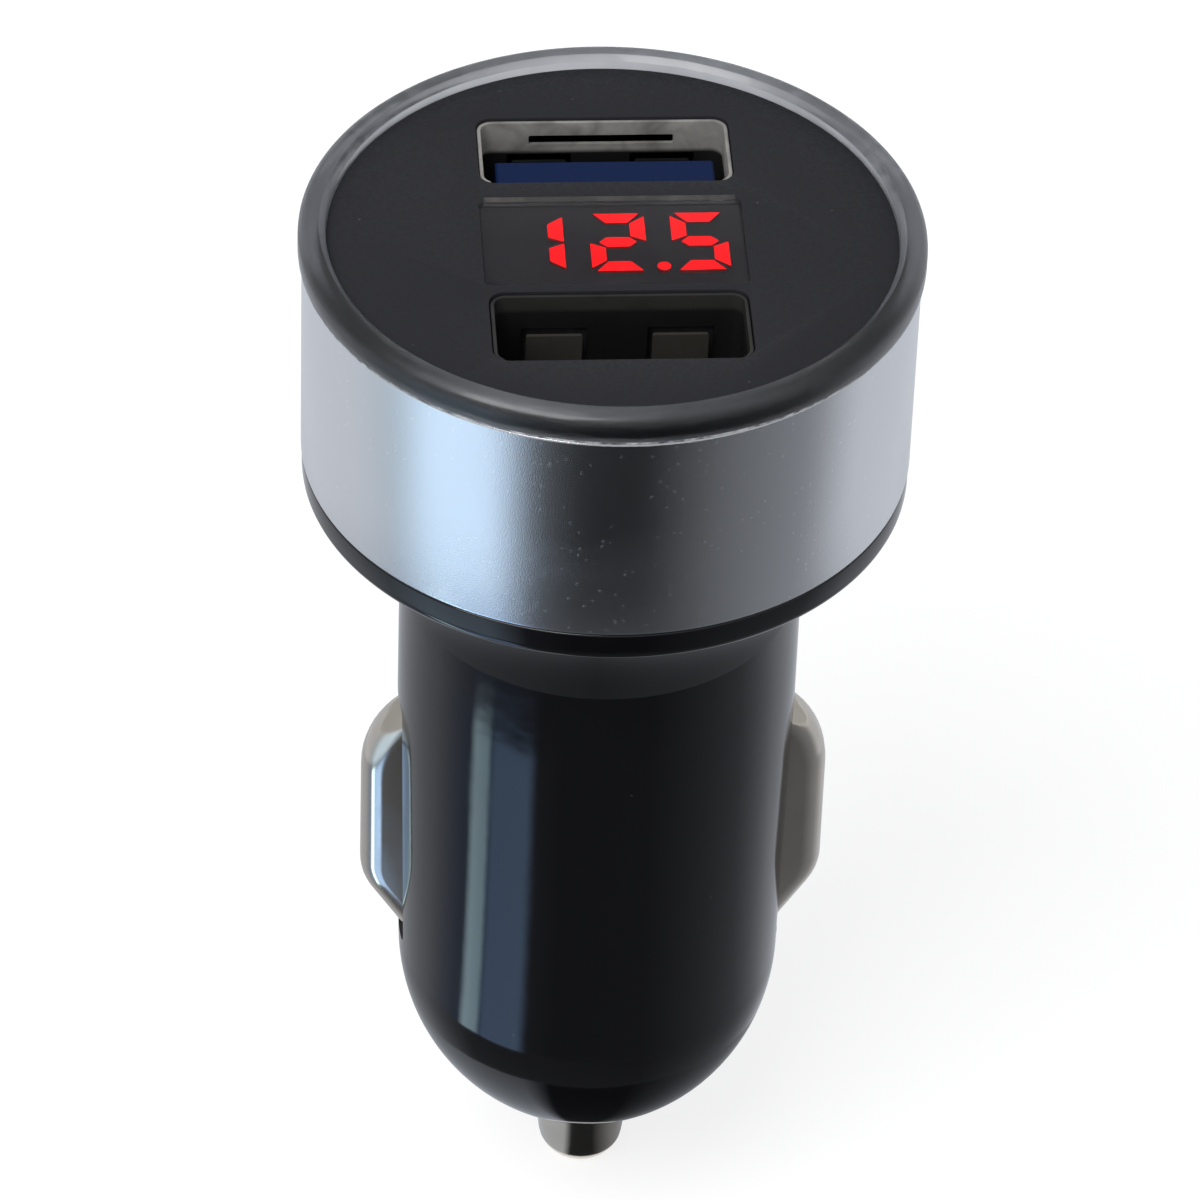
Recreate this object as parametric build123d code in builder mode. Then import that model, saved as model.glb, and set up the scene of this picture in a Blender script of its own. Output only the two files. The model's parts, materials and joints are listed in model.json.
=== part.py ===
from build123d import *
import os
from math import hypot, radians, sqrt, tan

# A charger plug for a car's 12 V socket, with two charging ports and a voltage display in its face.
# Millimetres, with Z along the plug. Z = 0 is the seat, where the straight barrel begins under the head.
# The face looks up, the centre contact points down, and the long sides of the ports lie along X.

# Clearances
seat_gap = 0.05  # between pieces that are pushed into each other
slide_gap = 0.1  # between the centre contact and its hole
slot_gap = 0.25  # round a side contact in its slot

# Barrel and nose
barrel_radius = 10.42
straight_length = 9.0
barrel_taper = 0.24  # radius lost along the taper
taper_length = 16.6
nose_length = 10.5
nose_land = 0.6  # flat round the hole in the nose
nose_floor = 2.0
shell_wall = 1.5  # at the thin end of the taper

# Head
neck_height = 6.3  # seat to the underside of the lip
lip_height = 1.6
lip_inset = 0.05  # lip in from the aluminium ring
lip_round = 0.6
ring_wall = 0.8
ring_height = 12.15
ring_chamfer = 0.2
port_room = 1.63  # corners of the ports to the bore of the head
cup_wall = 1.2
cup_floor = 1.5  # floor of the head above the underside of the lip
bezel_overhang = 0.2  # past the aluminium ring
bezel_height = 1.65  # above the aluminium ring
bezel_skirt = 1.45  # down inside the aluminium ring
bezel_wall = 0.32  # beside the edge of the face
bezel_ledge = 0.7  # under the edge of the face
bezel_round = 0.65
bezel_bevel = 0.3
face_thickness = 0.8
face_recess = 0.66  # below the top of the bezel

# Charging ports
port_pitch = 14.6
port_width = 12.4
port_height = 5.0
port_corner = 0.6
port_sheet = 0.2
port_sink = 0.15  # rim below the face
lip_slot_width = 7.4
lip_slot_height = 0.55
lip_slot_sink = 0.8  # below the rim
finger_width = 2.8
finger_length = 4.6
finger_setback = 3.05  # middle of a finger in from the end of the port
finger_sink = 2.2  # free end below the rim
finger_bend = 0.35  # free end in from the wall
finger_gap = 0.25
tongue_side_gap = 0.65
tongue_thickness = 1.84
tongue_offset = 0.67  # from the near wall of the port
tongue_chamfer = 0.1
upper_tongue_sink = 0.6  # below the rim
lower_tongue_sink = 2.3
insulator_height = 2.4
pin_width = 1.0
pin_thickness = 0.3
pin_proud = 0.1
pin_inset = 0.8  # below the end of the tongue
pin_places = (-3.5, -1.0, 1.0, 3.5)

# Display
window_web_near = 0.5  # face left between the window and the near port
window_web_far = 1.6
window_corner = 0.3
lens_thickness = 0.3
block_margin = 0.1  # module past the window on each side
block_depth = 5.6
pad_gap = 0.15
digit_width = 2.8
digit_pitch = 4.1
digit_margin_near = 1.42  # window left below the digits
digit_margin_far = 0.9
digit_margin_side = 1.15
digit_offset = 0.25  # digits to the right of the middle of the window
stroke = 0.76
stroke_gap = 0.08
stroke_cut = 0.25  # off the outer corners of a digit
segment_thickness = 0.15
point_radius = 0.34
point_gap = 0.45  # from the digit before it
leg_width = 0.5
leg_pitch = 2.54
leg_setback = 1.06  # rows of legs in from the sides of the module
leg_count = 5

# Side contacts
contact_proud = 2.12  # flat crown above the thin end of the barrel
contact_top = 13.6  # seat to the upper end of the crown
contact_bottom = 20.9  # seat to the corner between crown and ramp
contact_shoulder = 4.85  # height of the rounded upper end
contact_ramp_angle = 33.0  # from the axis
contact_sunk = 0.28  # foot of the ramp below the barrel there
contact_width = 3.2  # at the flange
contact_draft = 12.0
contact_corner = 3.5
contact_toe_corner = 1.0
contact_edge = 0.7
contact_sheet = 0.35
contact_travel = 2.0
flange_width = 5.0
flange_overlap = 1.0
slot_corner = 0.6

# Centre contact
tip_radius = 2.7
tip_taper = 0.6  # radius lost along the tip
tip_projection = 5.5  # past the end of the nose
tip_straight = 0.6
tip_round = 1.7
tip_flange_width = 1.12
tip_flange_height = 1.0
tip_floor = 2.2
tip_travel = 2.5

# Springs
coil_radius = 1.45
coil_wire = 0.37  # side of its square wire
coil_pitch = 1.25
coil_gap = 0.2  # coil to the bore of the centre contact
leaf_sheet = 0.25
leaf_width = 3.6
leaf_foot = 1.8
leaf_crown = 4.0
leaf_bend = 2.0
leaf_inset = 2.2  # ends of the leaf in from the ends of the flange
leaf_room = 1.5  # left for the leaf when a side contact is pressed in

# Boards
board_thickness = 1.6
board_gap = 0.1
board_side_gap = 0.45  # main board to the bore
step_clearance = 1.2  # main board's step above the side contacts
end_clearance = 3.4  # main board's end above the pressed centre contact
board_tab = 5.0  # half width of the tab in the head board
nib_gap = 0.08  # nib to the coil round it
nib_length = 2.6

# Parts on the boards
drum_radius = 4.0
drum_flange = 0.8
drum_core_radius = 2.0
drum_room = 1.6  # drum to the bore of the barrel
winding_radius = 3.5
drum_level = 0.5
can_room = 1.8  # cans to the bore of the barrel
can_length = 9.5
can_gap = 0.5
can_headroom = 3.5  # cans to the head board
can_crimp_depth = 0.35
can_crimp_height = 0.8
can_crimp_place = 1.4  # below the end with the leads
lead_radius = 0.25
lead_spread = 2.0
lead_rise = 1.2
lead_bend = 0.6
chip_length = 4.9
chip_width = 3.9
chip_height = 1.5
chip_standoff = 0.1
chip_chamfer = 0.2
chip_lead_pitch = 1.27
chip_lead_width = 0.4
chip_lead_sheet = 0.2
chip_lead_reach = 1.05
chip_lead_shoulder = 0.4
regulator_level = -11.5
meter_gap = 0.4  # meter chip to the main board
diode_length = 4.3
diode_width = 2.6
diode_height = 2.2
diode_tab_width = 1.4
diode_tab_sheet = 0.2
diode_tab_foot = 0.8
diode_level = -18.0
chip_part_length = 1.6
chip_part_width = 0.8
chip_part_height = 0.6
chip_part_spread = 3.0
chip_part_gap = 1.4
chip_part_rows = 5
chip_part_level = -17.0

# Levels, radii and places that follow from these sizes
ring_bottom = neck_height + lip_height
ring_top = ring_bottom + ring_height
bezel_top = ring_top + bezel_height
face_top = bezel_top - face_recess
face_bottom = face_top - face_thickness
port_shift = port_pitch / 2
port_reach = hypot(port_width / 2 + port_sheet, port_shift + port_height / 2 + port_sheet)
cup_bore = port_reach + port_room
cup_radius = cup_bore + cup_wall
ring_radius = cup_radius + seat_gap + ring_wall
lip_radius = ring_radius - lip_inset
cup_top = ring_top - bezel_skirt
face_radius = cup_radius - bezel_wall - seat_gap
bezel_radius = ring_radius + bezel_overhang
floor_level = neck_height + cup_floor
board_top = floor_level + board_thickness
half_board = board_thickness / 2

taper_radius = barrel_radius - barrel_taper
bore_radius = taper_radius - shell_wall
taper_end = -straight_length - taper_length
nose_end = taper_end - nose_length
guide_level = nose_end + nose_floor
tip_hole = tip_radius + slide_gap
tip_end = nose_end - tip_projection
tip_end_radius = tip_radius - tip_taper
tip_flange_radius = tip_radius + tip_flange_width
tip_bore = coil_radius + coil_wire / 2 + coil_gap
nose_end_radius = tip_hole + nose_land

ramp = radians(contact_ramp_angle)
contact_crown = taper_radius + contact_proud
contact_foot = taper_radius - contact_sunk
contact_head = contact_shoulder - contact_top
contact_toe = -contact_bottom - (contact_crown - contact_foot) / tan(ramp)
flange_outer = sqrt(bore_radius**2 - (flange_width / 2) ** 2) - seat_gap
flange_inner = flange_outer - contact_sheet
flange_high = contact_head + flange_overlap
flange_low = contact_toe - flange_overlap
flange_middle = (flange_high + flange_low) / 2
bore_end = flange_low - slot_gap

board_shoulder = bore_radius - board_side_gap
board_waist = flange_inner - contact_travel - leaf_room
board_step = flange_high + step_clearance
board_end = guide_level + tip_flange_height + tip_travel + end_clearance
nib_half_width = sqrt((coil_radius - coil_wire / 2 - nib_gap) ** 2 - half_board**2)

rim_level = face_top - port_sink
cutout_width = port_width + 2 * (port_sheet + seat_gap)
cutout_height = port_height + 2 * (port_sheet + seat_gap)
cutout_corner = port_corner + port_sheet + seat_gap
window_height = port_pitch - cutout_height - window_web_near - window_web_far
window_shift = (window_web_near - window_web_far) / 2
window_width = 2 * digit_pitch + digit_width + 2 * digit_margin_side
digit_height = window_height - digit_margin_near - digit_margin_far
digit_shift = window_shift + (digit_margin_near - digit_margin_far) / 2
lens_bottom = face_top - lens_thickness
pad_top = lens_bottom - segment_thickness
block_bottom = face_bottom - block_depth
leg_rows = window_height + 2 * block_margin - 2 * leg_setback
finger_pitch = port_width - 2 * finger_setback
tongue_width = port_width - 2 * tongue_side_gap

# The drum and the two cans fill the bore round the main board. A can of radius r has its middle at
# (can_side + r, can_base + r) and reaches can_reach from the axis, which gives a quadratic for r.
drum_height = sqrt((bore_radius - drum_room) ** 2 - drum_radius**2) - half_board
can_end = floor_level - can_headroom
can_reach = bore_radius - can_room
can_side = can_gap / 2
can_base = half_board + board_gap
can_sum = can_side + can_base + can_reach
can_radius = sqrt(can_sum**2 + can_reach**2 - can_side**2 - can_base**2) - can_sum
can_shift = can_side + can_radius
meter_shift = -half_board - meter_gap - chip_length / 2

os.makedirs("parts", exist_ok=True)


def save(builder, label):
    """Labels a finished piece and writes it to a file of its own."""
    builder.part.label = label
    export_step(builder.part, f"parts/{label}.step")


# Side contact's hump: a drawn shell with sloping sides and a rounded edge
def contact_hump(inset):
    """Makes the hump on the +X side, with every wall moved in by inset."""
    crown = contact_crown - inset
    corner = -contact_bottom + inset * tan(ramp / 2)
    toe = contact_toe + inset
    toe_reach = crown - (corner - toe) * tan(ramp)
    head = contact_head - inset
    with BuildPart() as hump:
        with BuildSketch(Plane.XZ):
            with BuildLine():
                EllipticalCenterArc(
                    (flange_outer, -contact_top), crown - flange_outer, contact_shoulder - inset, arc_size=90
                )
                FilletPolyline(
                    (crown, -contact_top),
                    (crown, corner),
                    (toe_reach, toe),
                    (flange_outer, toe),
                    radius=(contact_corner - inset, contact_toe_corner - inset),
                )
                Line((flange_outer, toe), (flange_outer, head))
            make_face()
        extrude(amount=contact_width, both=True)
        with BuildSketch(Plane.YZ.offset(flange_outer)):
            with Locations((0, (head + toe) / 2)):
                Rectangle(contact_width - 2 * inset, 2 * (head - toe))
        extrude(amount=1.2 * (crown - flange_outer), taper=contact_draft, mode=Mode.INTERSECT)
        flanks = (hump.faces().sort_by(Axis.Y)[0], hump.faces().sort_by(Axis.Y)[-1])
        fillet([e for flank in flanks for e in flank.edges().sort_by(Axis.X)[1:]], contact_edge - inset)
    return hump.part


# Charging port: a folded metal shell with two spring fingers in each wide wall
def port_shell(label, shift, lip_slot):
    """Makes the metal shell of one port, centred at Y = shift."""
    window_low = rim_level - finger_sink - finger_length
    with BuildPart() as shell:
        with BuildSketch(Plane.XY.offset(board_top)):
            with Locations((0, shift)):
                RectangleRounded(
                    port_width + 2 * port_sheet, port_height + 2 * port_sheet, port_corner + port_sheet
                )
                RectangleRounded(port_width, port_height, port_corner, mode=Mode.SUBTRACT)
        extrude(amount=rim_level - board_top)
        with BuildSketch(Plane.XZ.offset(-shift)):
            with Locations((0, window_low)):
                with GridLocations(finger_pitch, 0, 2, 1):
                    Rectangle(
                        finger_width + 2 * finger_gap,
                        finger_length + finger_gap,
                        align=(Align.CENTER, Align.MIN),
                    )
        extrude(amount=port_height, both=True, mode=Mode.SUBTRACT)
        for side in (-1, 1):
            inner = shift + side * port_height / 2
            outer = inner + side * port_sheet
            bend = -side * finger_bend
            for place in (-finger_pitch / 2, finger_pitch / 2):
                with BuildSketch(Plane.YZ.offset(place)):
                    Polygon(
                        (inner, window_low),
                        (outer, window_low),
                        (outer + bend, window_low + finger_length),
                        (inner + bend, window_low + finger_length),
                        align=None,
                    )
                extrude(amount=finger_width / 2, both=True)
        if lip_slot:
            with BuildSketch(Plane.XZ.offset(-shift)):
                with Locations((0, rim_level - lip_slot_sink)):
                    Rectangle(lip_slot_width, lip_slot_height, align=(Align.CENTER, Align.MAX))
            extrude(amount=-port_height, mode=Mode.SUBTRACT)
    save(shell, label)


# Port insulator: a base that fills the shell, with a tongue that carries the four contact strips
def port_insulator(label, pins_label, shift, sink):
    """Makes the insulator and the contact strips of one port."""
    tongue_end = rim_level - sink
    tongue_near = shift - port_height / 2 + tongue_offset
    tongue_far = tongue_near + tongue_thickness
    pin_back = tongue_far + pin_proud - pin_thickness
    pin_end = tongue_end - pin_inset
    with BuildPart() as insulator:
        with BuildSketch(Plane.XY.offset(board_top)):
            with Locations((0, shift)):
                RectangleRounded(
                    port_width - 2 * seat_gap, port_height - 2 * seat_gap, port_corner - seat_gap
                )
        extrude(amount=insulator_height)
        with BuildSketch(Plane.XY.offset(board_top)):
            with Locations((0, tongue_near)):
                Rectangle(tongue_width, tongue_thickness, align=(Align.CENTER, Align.MIN))
        extrude(amount=tongue_end - board_top)
        chamfer(insulator.faces().sort_by(Axis.Z)[-1].edges(), tongue_chamfer)
        with BuildSketch(Plane.XY.offset(board_top)):
            for place in pin_places:
                with Locations((place, pin_back)):
                    Rectangle(
                        pin_width + 2 * seat_gap, pin_thickness + seat_gap, align=(Align.CENTER, Align.MIN)
                    )
        extrude(amount=pin_end + seat_gap - board_top, mode=Mode.SUBTRACT)
    save(insulator, label)
    with BuildPart() as pins:
        with BuildSketch(Plane.XY.offset(board_top)):
            for place in pin_places:
                with Locations((place, pin_back)):
                    Rectangle(pin_width, pin_thickness, align=(Align.CENTER, Align.MIN))
        extrude(amount=pin_end - board_top)
    save(pins, pins_label)


# Digit: the seven strokes of a display figure, mitred where they meet
def digit_strokes(names):
    """Returns the outlines of the named strokes of a digit that is centred on the origin."""
    wide = digit_width / 2
    high = digit_height / 2
    wide_in = wide - stroke
    high_in = high - stroke
    half = stroke / 2
    gap = stroke_gap
    cut = stroke_cut
    bar = [(-wide + cut, high), (wide - cut, high), (wide_in - gap, high_in), (-wide_in + gap, high_in)]
    post = [(wide, high - cut), (wide, gap), (wide_in, half + gap), (wide_in, high_in - gap)]
    waist = [(wide - half - gap, 0), (wide_in - gap, half), (-wide_in + gap, half)]
    strokes = {
        "top": bar,
        "bottom": [(x, -y) for x, y in bar],
        "upper_right": post,
        "upper_left": [(-x, y) for x, y in post],
        "lower_right": [(x, -y) for x, y in post],
        "lower_left": [(-x, -y) for x, y in post],
        "middle": waist + [(-x, -y) for x, y in waist],
    }
    return [strokes[name] for name in names]


# Small outline chip: a moulded block with bent leads on two sides
def lead_chip(label, base):
    """Makes a chip on the plane base, with its leads along the plane's X and its rows along Y."""
    middle = chip_standoff + chip_height / 2
    with BuildPart() as chip:
        with BuildSketch(base.offset(chip_standoff)):
            Rectangle(chip_width, chip_length)
        extrude(amount=chip_height)
        chamfer(chip.faces().sort_by(Axis(base.origin, base.z_dir))[-1].edges(), chip_chamfer)
        for row in range(4):
            place = base.origin + base.y_dir * ((row - 1.5) * chip_lead_pitch)
            section = Plane(origin=place, x_dir=base.x_dir, z_dir=-base.y_dir)
            for side in (-1, 1):
                with BuildSketch(section):
                    with BuildLine():
                        Polyline(
                            (side * (chip_width / 2 - chip_lead_sheet), middle),
                            (side * (chip_width / 2 + chip_lead_shoulder), middle),
                            (side * (chip_width / 2 + chip_lead_shoulder), chip_lead_sheet / 2),
                            (side * (chip_width / 2 + chip_lead_reach), chip_lead_sheet / 2),
                        )
                    trace(line_width=chip_lead_sheet)
                extrude(amount=chip_lead_width / 2, both=True)
    save(chip, label)


# Electrolytic capacitor: a can lying along the board, crimped near the end with the two leads
def capacitor(label, shift):
    """Makes a capacitor at X = shift on the +Y side of the main board."""
    depth = can_base + can_radius
    can_level = can_end - can_length
    crimp = can_end - can_crimp_place
    with BuildPart() as can:
        with BuildSketch(Plane.XZ.offset(-depth)):
            with BuildLine():
                Polyline(
                    (shift, can_level),
                    (shift + can_radius, can_level),
                    (shift + can_radius, crimp - can_crimp_height / 2),
                    (shift + can_radius - can_crimp_depth, crimp),
                    (shift + can_radius, crimp + can_crimp_height / 2),
                    (shift + can_radius, can_end),
                    (shift, can_end),
                    close=True,
                )
            make_face()
        revolve(axis=Axis((shift, depth, 0), (0, 0, 1)))
        for side in (-1, 1):
            with BuildLine(Plane.YZ.offset(shift + side * lead_spread / 2)) as lead:
                FilletPolyline(
                    (depth, can_end - lead_rise),
                    (depth, can_end + lead_rise),
                    (half_board, can_end + lead_rise),
                    radius=lead_bend,
                )
            with BuildSketch(Plane(origin=lead.line @ 0, z_dir=lead.line % 0)):
                Circle(lead_radius)
            sweep(path=lead.line)
    save(can, label)


# Plug shell: cup of the head, lip, flared neck, barrel and domed nose in one moulding
with BuildPart() as plug_shell:
    with BuildSketch(Plane.XZ) as shell_section:
        with BuildLine():
            TangentArc(
                (taper_radius, taper_end),
                (nose_end_radius, nose_end),
                tangent=(taper_radius - barrel_radius, -taper_length),
            )
            Polyline((taper_radius, taper_end), (barrel_radius, -straight_length), (barrel_radius, 0))
            TangentArc((barrel_radius, 0), (lip_radius, neck_height), tangent=(0, 1))
            Polyline(
                (lip_radius, neck_height),
                (lip_radius, ring_bottom),
                (cup_radius, ring_bottom),
                (cup_radius, cup_top),
                (cup_bore, cup_top),
                (cup_bore, floor_level),
                (bore_radius, floor_level),
                (bore_radius, bore_end),
                (tip_flange_radius + slot_gap, guide_level),
                (tip_hole, guide_level),
                (tip_hole, nose_end),
                (nose_end_radius, nose_end),
            )
        make_face()
        fillet(shell_section.vertices().sort_by_distance((lip_radius, neck_height))[0], lip_round)
    revolve(axis=Axis.Z)
    with BuildSketch(Plane.YZ):
        with Locations((0, (contact_head + contact_toe) / 2)):
            RectangleRounded(
                contact_width + 2 * slot_gap, contact_head - contact_toe + 2 * slot_gap, slot_corner
            )
    extrude(amount=bezel_radius, both=True, mode=Mode.SUBTRACT)
save(plug_shell, "plug_shell")

# Aluminium ring: a sleeve round the cup, standing on the lip
with BuildPart() as aluminium_ring:
    with BuildSketch(Plane.XY.offset(ring_bottom)):
        Circle(ring_radius)
        Circle(ring_radius - ring_wall, mode=Mode.SUBTRACT)
    extrude(amount=ring_height)
    outer_edges = aluminium_ring.edges().filter_by(GeomType.CIRCLE).group_by(SortBy.RADIUS)[-1]
    chamfer(outer_edges, ring_chamfer)
save(aluminium_ring, "aluminium_ring")

# Clear bezel: a flange over the ring, a skirt on the cup's rim and a ledge under the face
with BuildPart() as clear_bezel:
    with BuildSketch(Plane.XZ) as bezel_section:
        with BuildLine():
            Polyline(
                (face_radius - bezel_ledge, cup_top),
                (cup_radius, cup_top),
                (cup_radius, ring_top),
                (bezel_radius, ring_top),
                (bezel_radius, bezel_top),
                (face_radius + seat_gap, bezel_top),
                (face_radius + seat_gap, face_bottom),
                (face_radius - bezel_ledge, face_bottom),
                close=True,
            )
        make_face()
        fillet(bezel_section.vertices().sort_by_distance((bezel_radius, bezel_top))[0], bezel_round)
        chamfer(bezel_section.vertices().sort_by_distance((face_radius, bezel_top))[0], bezel_bevel)
    revolve(axis=Axis.Z)
save(clear_bezel, "clear_bezel")

# Face panel: a disc with a window for the display between two port cut-outs
with BuildPart() as face_panel:
    with BuildSketch(Plane.XY.offset(face_bottom)):
        Circle(face_radius)
        with GridLocations(0, port_pitch, 1, 2):
            RectangleRounded(cutout_width, cutout_height, cutout_corner, mode=Mode.SUBTRACT)
        with Locations((0, window_shift)):
            RectangleRounded(window_width, window_height, window_corner, mode=Mode.SUBTRACT)
    extrude(amount=face_thickness)
save(face_panel, "face_panel")

# Display lens: fills the window, flush with the face
with BuildPart() as display_lens:
    with BuildSketch(Plane.XY.offset(lens_bottom)):
        with Locations((0, window_shift)):
            RectangleRounded(
                window_width - 2 * seat_gap, window_height - 2 * seat_gap, window_corner - seat_gap
            )
    extrude(amount=lens_thickness)
save(display_lens, "display_lens")

# Display block: a cast module under the face, with a pad that rises into the window
with BuildPart() as display_block:
    with BuildSketch(Plane.XY.offset(block_bottom)):
        with Locations((0, window_shift)):
            Rectangle(window_width + 2 * block_margin, window_height + 2 * block_margin)
    extrude(amount=block_depth)
    with BuildSketch(Plane.XY.offset(face_bottom)):
        with Locations((0, window_shift)):
            Rectangle(window_width - 2 * pad_gap, window_height - 2 * pad_gap)
    extrude(amount=pad_top - face_bottom)
save(display_block, "display_block")

# Digit segments: the lit strokes of 12.5, raised on the pad under the lens
lit_digits = (
    ("upper_right", "lower_right"),
    ("top", "upper_right", "middle", "lower_left", "bottom"),
    ("top", "upper_left", "middle", "lower_right", "bottom"),
)
with BuildPart() as digit_segments:
    with BuildSketch(Plane.XY.offset(pad_top)):
        for number, names in enumerate(lit_digits):
            with Locations((digit_offset + (number - 1) * digit_pitch, digit_shift)):
                for outline in digit_strokes(names):
                    Polygon(*outline, align=None)
        point = digit_offset + digit_width / 2 + point_gap + point_radius
        with Locations((point, digit_shift - digit_height / 2 + point_radius)):
            Circle(point_radius)
    extrude(amount=segment_thickness)
save(digit_segments, "digit_segments")

# Display pins: two rows of legs from the module to the head board
with BuildPart() as display_pins:
    with BuildSketch(Plane.XY.offset(board_top)):
        with Locations((0, window_shift)):
            with GridLocations(leg_pitch, leg_rows, leg_count, 2):
                Rectangle(leg_width, leg_width)
    extrude(amount=block_bottom - board_top)
save(display_pins, "display_pins")

# The two charging ports
port_shell("usb_upper_shell", port_shift, True)
port_shell("usb_lower_shell", -port_shift, False)
port_insulator("usb_upper_tongue", "usb_upper_pins", port_shift, upper_tongue_sink)
port_insulator("usb_lower_tongue", "usb_lower_pins", -port_shift, lower_tongue_sink)

# Head board: a round board on the floor of the cup, slotted for the main board's tab
with BuildPart() as head_board:
    with BuildSketch(Plane.XY.offset(floor_level)):
        Circle(cup_bore - board_gap)
        Rectangle(2 * (board_tab + seat_gap), board_thickness + 2 * seat_gap, mode=Mode.SUBTRACT)
    extrude(amount=board_thickness)
save(head_board, "head_board")

# Main board: wide in the neck, narrow between the side contacts, with a nib for the coil spring
half_outline = (
    (0, board_top),
    (board_tab, board_top),
    (board_tab, floor_level),
    (board_shoulder, floor_level),
    (board_shoulder, board_step),
    (board_waist, board_step),
    (board_waist, board_end),
    (nib_half_width, board_end),
    (nib_half_width, board_end - nib_length),
    (0, board_end - nib_length),
)
with BuildPart() as main_board:
    with BuildSketch(Plane.XZ):
        with BuildLine():
            Polyline(*half_outline)
            mirror(about=Plane.YZ)
        make_face()
    extrude(amount=half_board, both=True)
save(main_board, "main_board")

# Choke: a ferrite drum on the main board, with its winding between the flanges
drum_plane = Plane.XZ.offset(half_board)
winding_height = drum_height - 2 * drum_flange
with BuildPart() as choke_core:
    for rise in (0, drum_height - drum_flange):
        with BuildSketch(drum_plane.offset(rise)):
            with Locations((0, drum_level)):
                Circle(drum_radius)
        extrude(amount=drum_flange)
    with BuildSketch(drum_plane):
        with Locations((0, drum_level)):
            Circle(drum_core_radius)
    extrude(amount=drum_height)
save(choke_core, "choke_core")

with BuildPart() as choke_winding:
    with BuildSketch(drum_plane.offset(drum_flange)):
        with Locations((0, drum_level)):
            Circle(winding_radius)
            Circle(drum_core_radius + seat_gap, mode=Mode.SUBTRACT)
    extrude(amount=winding_height)
save(choke_winding, "choke_winding")

# Capacitors and chips
capacitor("input_capacitor", -can_shift)
capacitor("output_capacitor", can_shift)
lead_chip("regulator_chip", Plane((0, -half_board, regulator_level), x_dir=(1, 0, 0), z_dir=(0, -1, 0)))
lead_chip("meter_chip", Plane((0, meter_shift, floor_level), x_dir=(1, 0, 0), z_dir=(0, 0, -1)))

# Rectifier diode: a moulded block on two bent tabs
diode_plane = Plane(origin=(0, -half_board, diode_level), x_dir=(1, 0, 0), z_dir=(0, -1, 0))
with BuildPart() as rectifier_diode:
    with BuildSketch(diode_plane.offset(diode_tab_sheet)):
        Rectangle(diode_length, diode_width)
    extrude(amount=diode_height)
    for side in (-1, 1):
        with BuildSketch(Plane(origin=diode_plane.origin, x_dir=(1, 0, 0), z_dir=(0, 0, -1))):
            with BuildLine():
                Polyline(
                    (side * (diode_length / 2 - diode_tab_foot), diode_tab_sheet / 2),
                    (side * (diode_length / 2 + diode_tab_sheet / 2), diode_tab_sheet / 2),
                    (side * (diode_length / 2 + diode_tab_sheet / 2), diode_height / 2),
                )
            trace(line_width=diode_tab_sheet)
        extrude(amount=diode_tab_width / 2, both=True)
save(rectifier_diode, "rectifier_diode")

# Chip parts: small resistors and capacitors in two columns behind the regulator
with BuildPart() as chip_parts:
    with BuildSketch(Plane.XZ.offset(-half_board)):
        with Locations((0, chip_part_level)):
            with GridLocations(chip_part_spread, chip_part_width + chip_part_gap, 2, chip_part_rows):
                Rectangle(chip_part_length, chip_part_width)
    extrude(amount=-chip_part_height)
save(chip_parts, "chip_parts")

# Centre contact: a hollow turned pin, held in the nose by its flange
with BuildPart() as centre_contact:
    with BuildSketch(Plane.XZ) as tip_section:
        with BuildLine():
            Polyline(
                (0, tip_end + tip_floor),
                (tip_bore, tip_end + tip_floor),
                (tip_bore, guide_level + tip_flange_height),
                (tip_flange_radius, guide_level + tip_flange_height),
                (tip_flange_radius, guide_level),
                (tip_radius, guide_level),
                (tip_radius, nose_end - tip_straight),
                (tip_end_radius, tip_end),
                (0, tip_end),
                close=True,
            )
        make_face()
        fillet(tip_section.vertices().sort_by_distance((tip_end_radius, tip_end))[0], tip_round)
    revolve(axis=Axis.Z)
save(centre_contact, "centre_contact")

# Contact spring: a coil of square wire from the floor of the centre contact to the main board's nib
coil_low = tip_end + tip_floor + coil_wire / 2 + seat_gap
coil_high = board_end - coil_wire / 2 - seat_gap
with BuildPart() as contact_spring:
    with BuildLine() as coil:
        Helix(coil_pitch, coil_high - coil_low, coil_radius, center=(0, 0, coil_low))
    with BuildSketch(Plane(origin=coil.line @ 0, x_dir=(1, 0, 0), z_dir=coil.line % 0)):
        Rectangle(coil_wire, coil_wire)
    sweep(path=coil.line, is_frenet=True)
save(contact_spring, "contact_spring")

# Side contacts: a hollow hump on a flange that bears on the inside of the barrel
hump_outside = contact_hump(0)
hump_inside = contact_hump(contact_sheet)
with BuildPart() as side_contact_right:
    with BuildSketch(Plane.YZ.offset(flange_inner)):
        with Locations((0, flange_middle)):
            Rectangle(flange_width, flange_high - flange_low)
        with Locations((0, (contact_head + contact_toe) / 2)):
            Rectangle(
                contact_width - 2 * contact_sheet,
                contact_head - contact_toe - 2 * contact_sheet,
                mode=Mode.SUBTRACT,
            )
    extrude(amount=contact_sheet)
    add(hump_outside)
    add(hump_inside, mode=Mode.SUBTRACT)
save(side_contact_right, "side_contact_right")

with BuildPart() as side_contact_left:
    mirror(side_contact_right.part, about=Plane.YZ)
save(side_contact_left, "side_contact_left")

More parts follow.
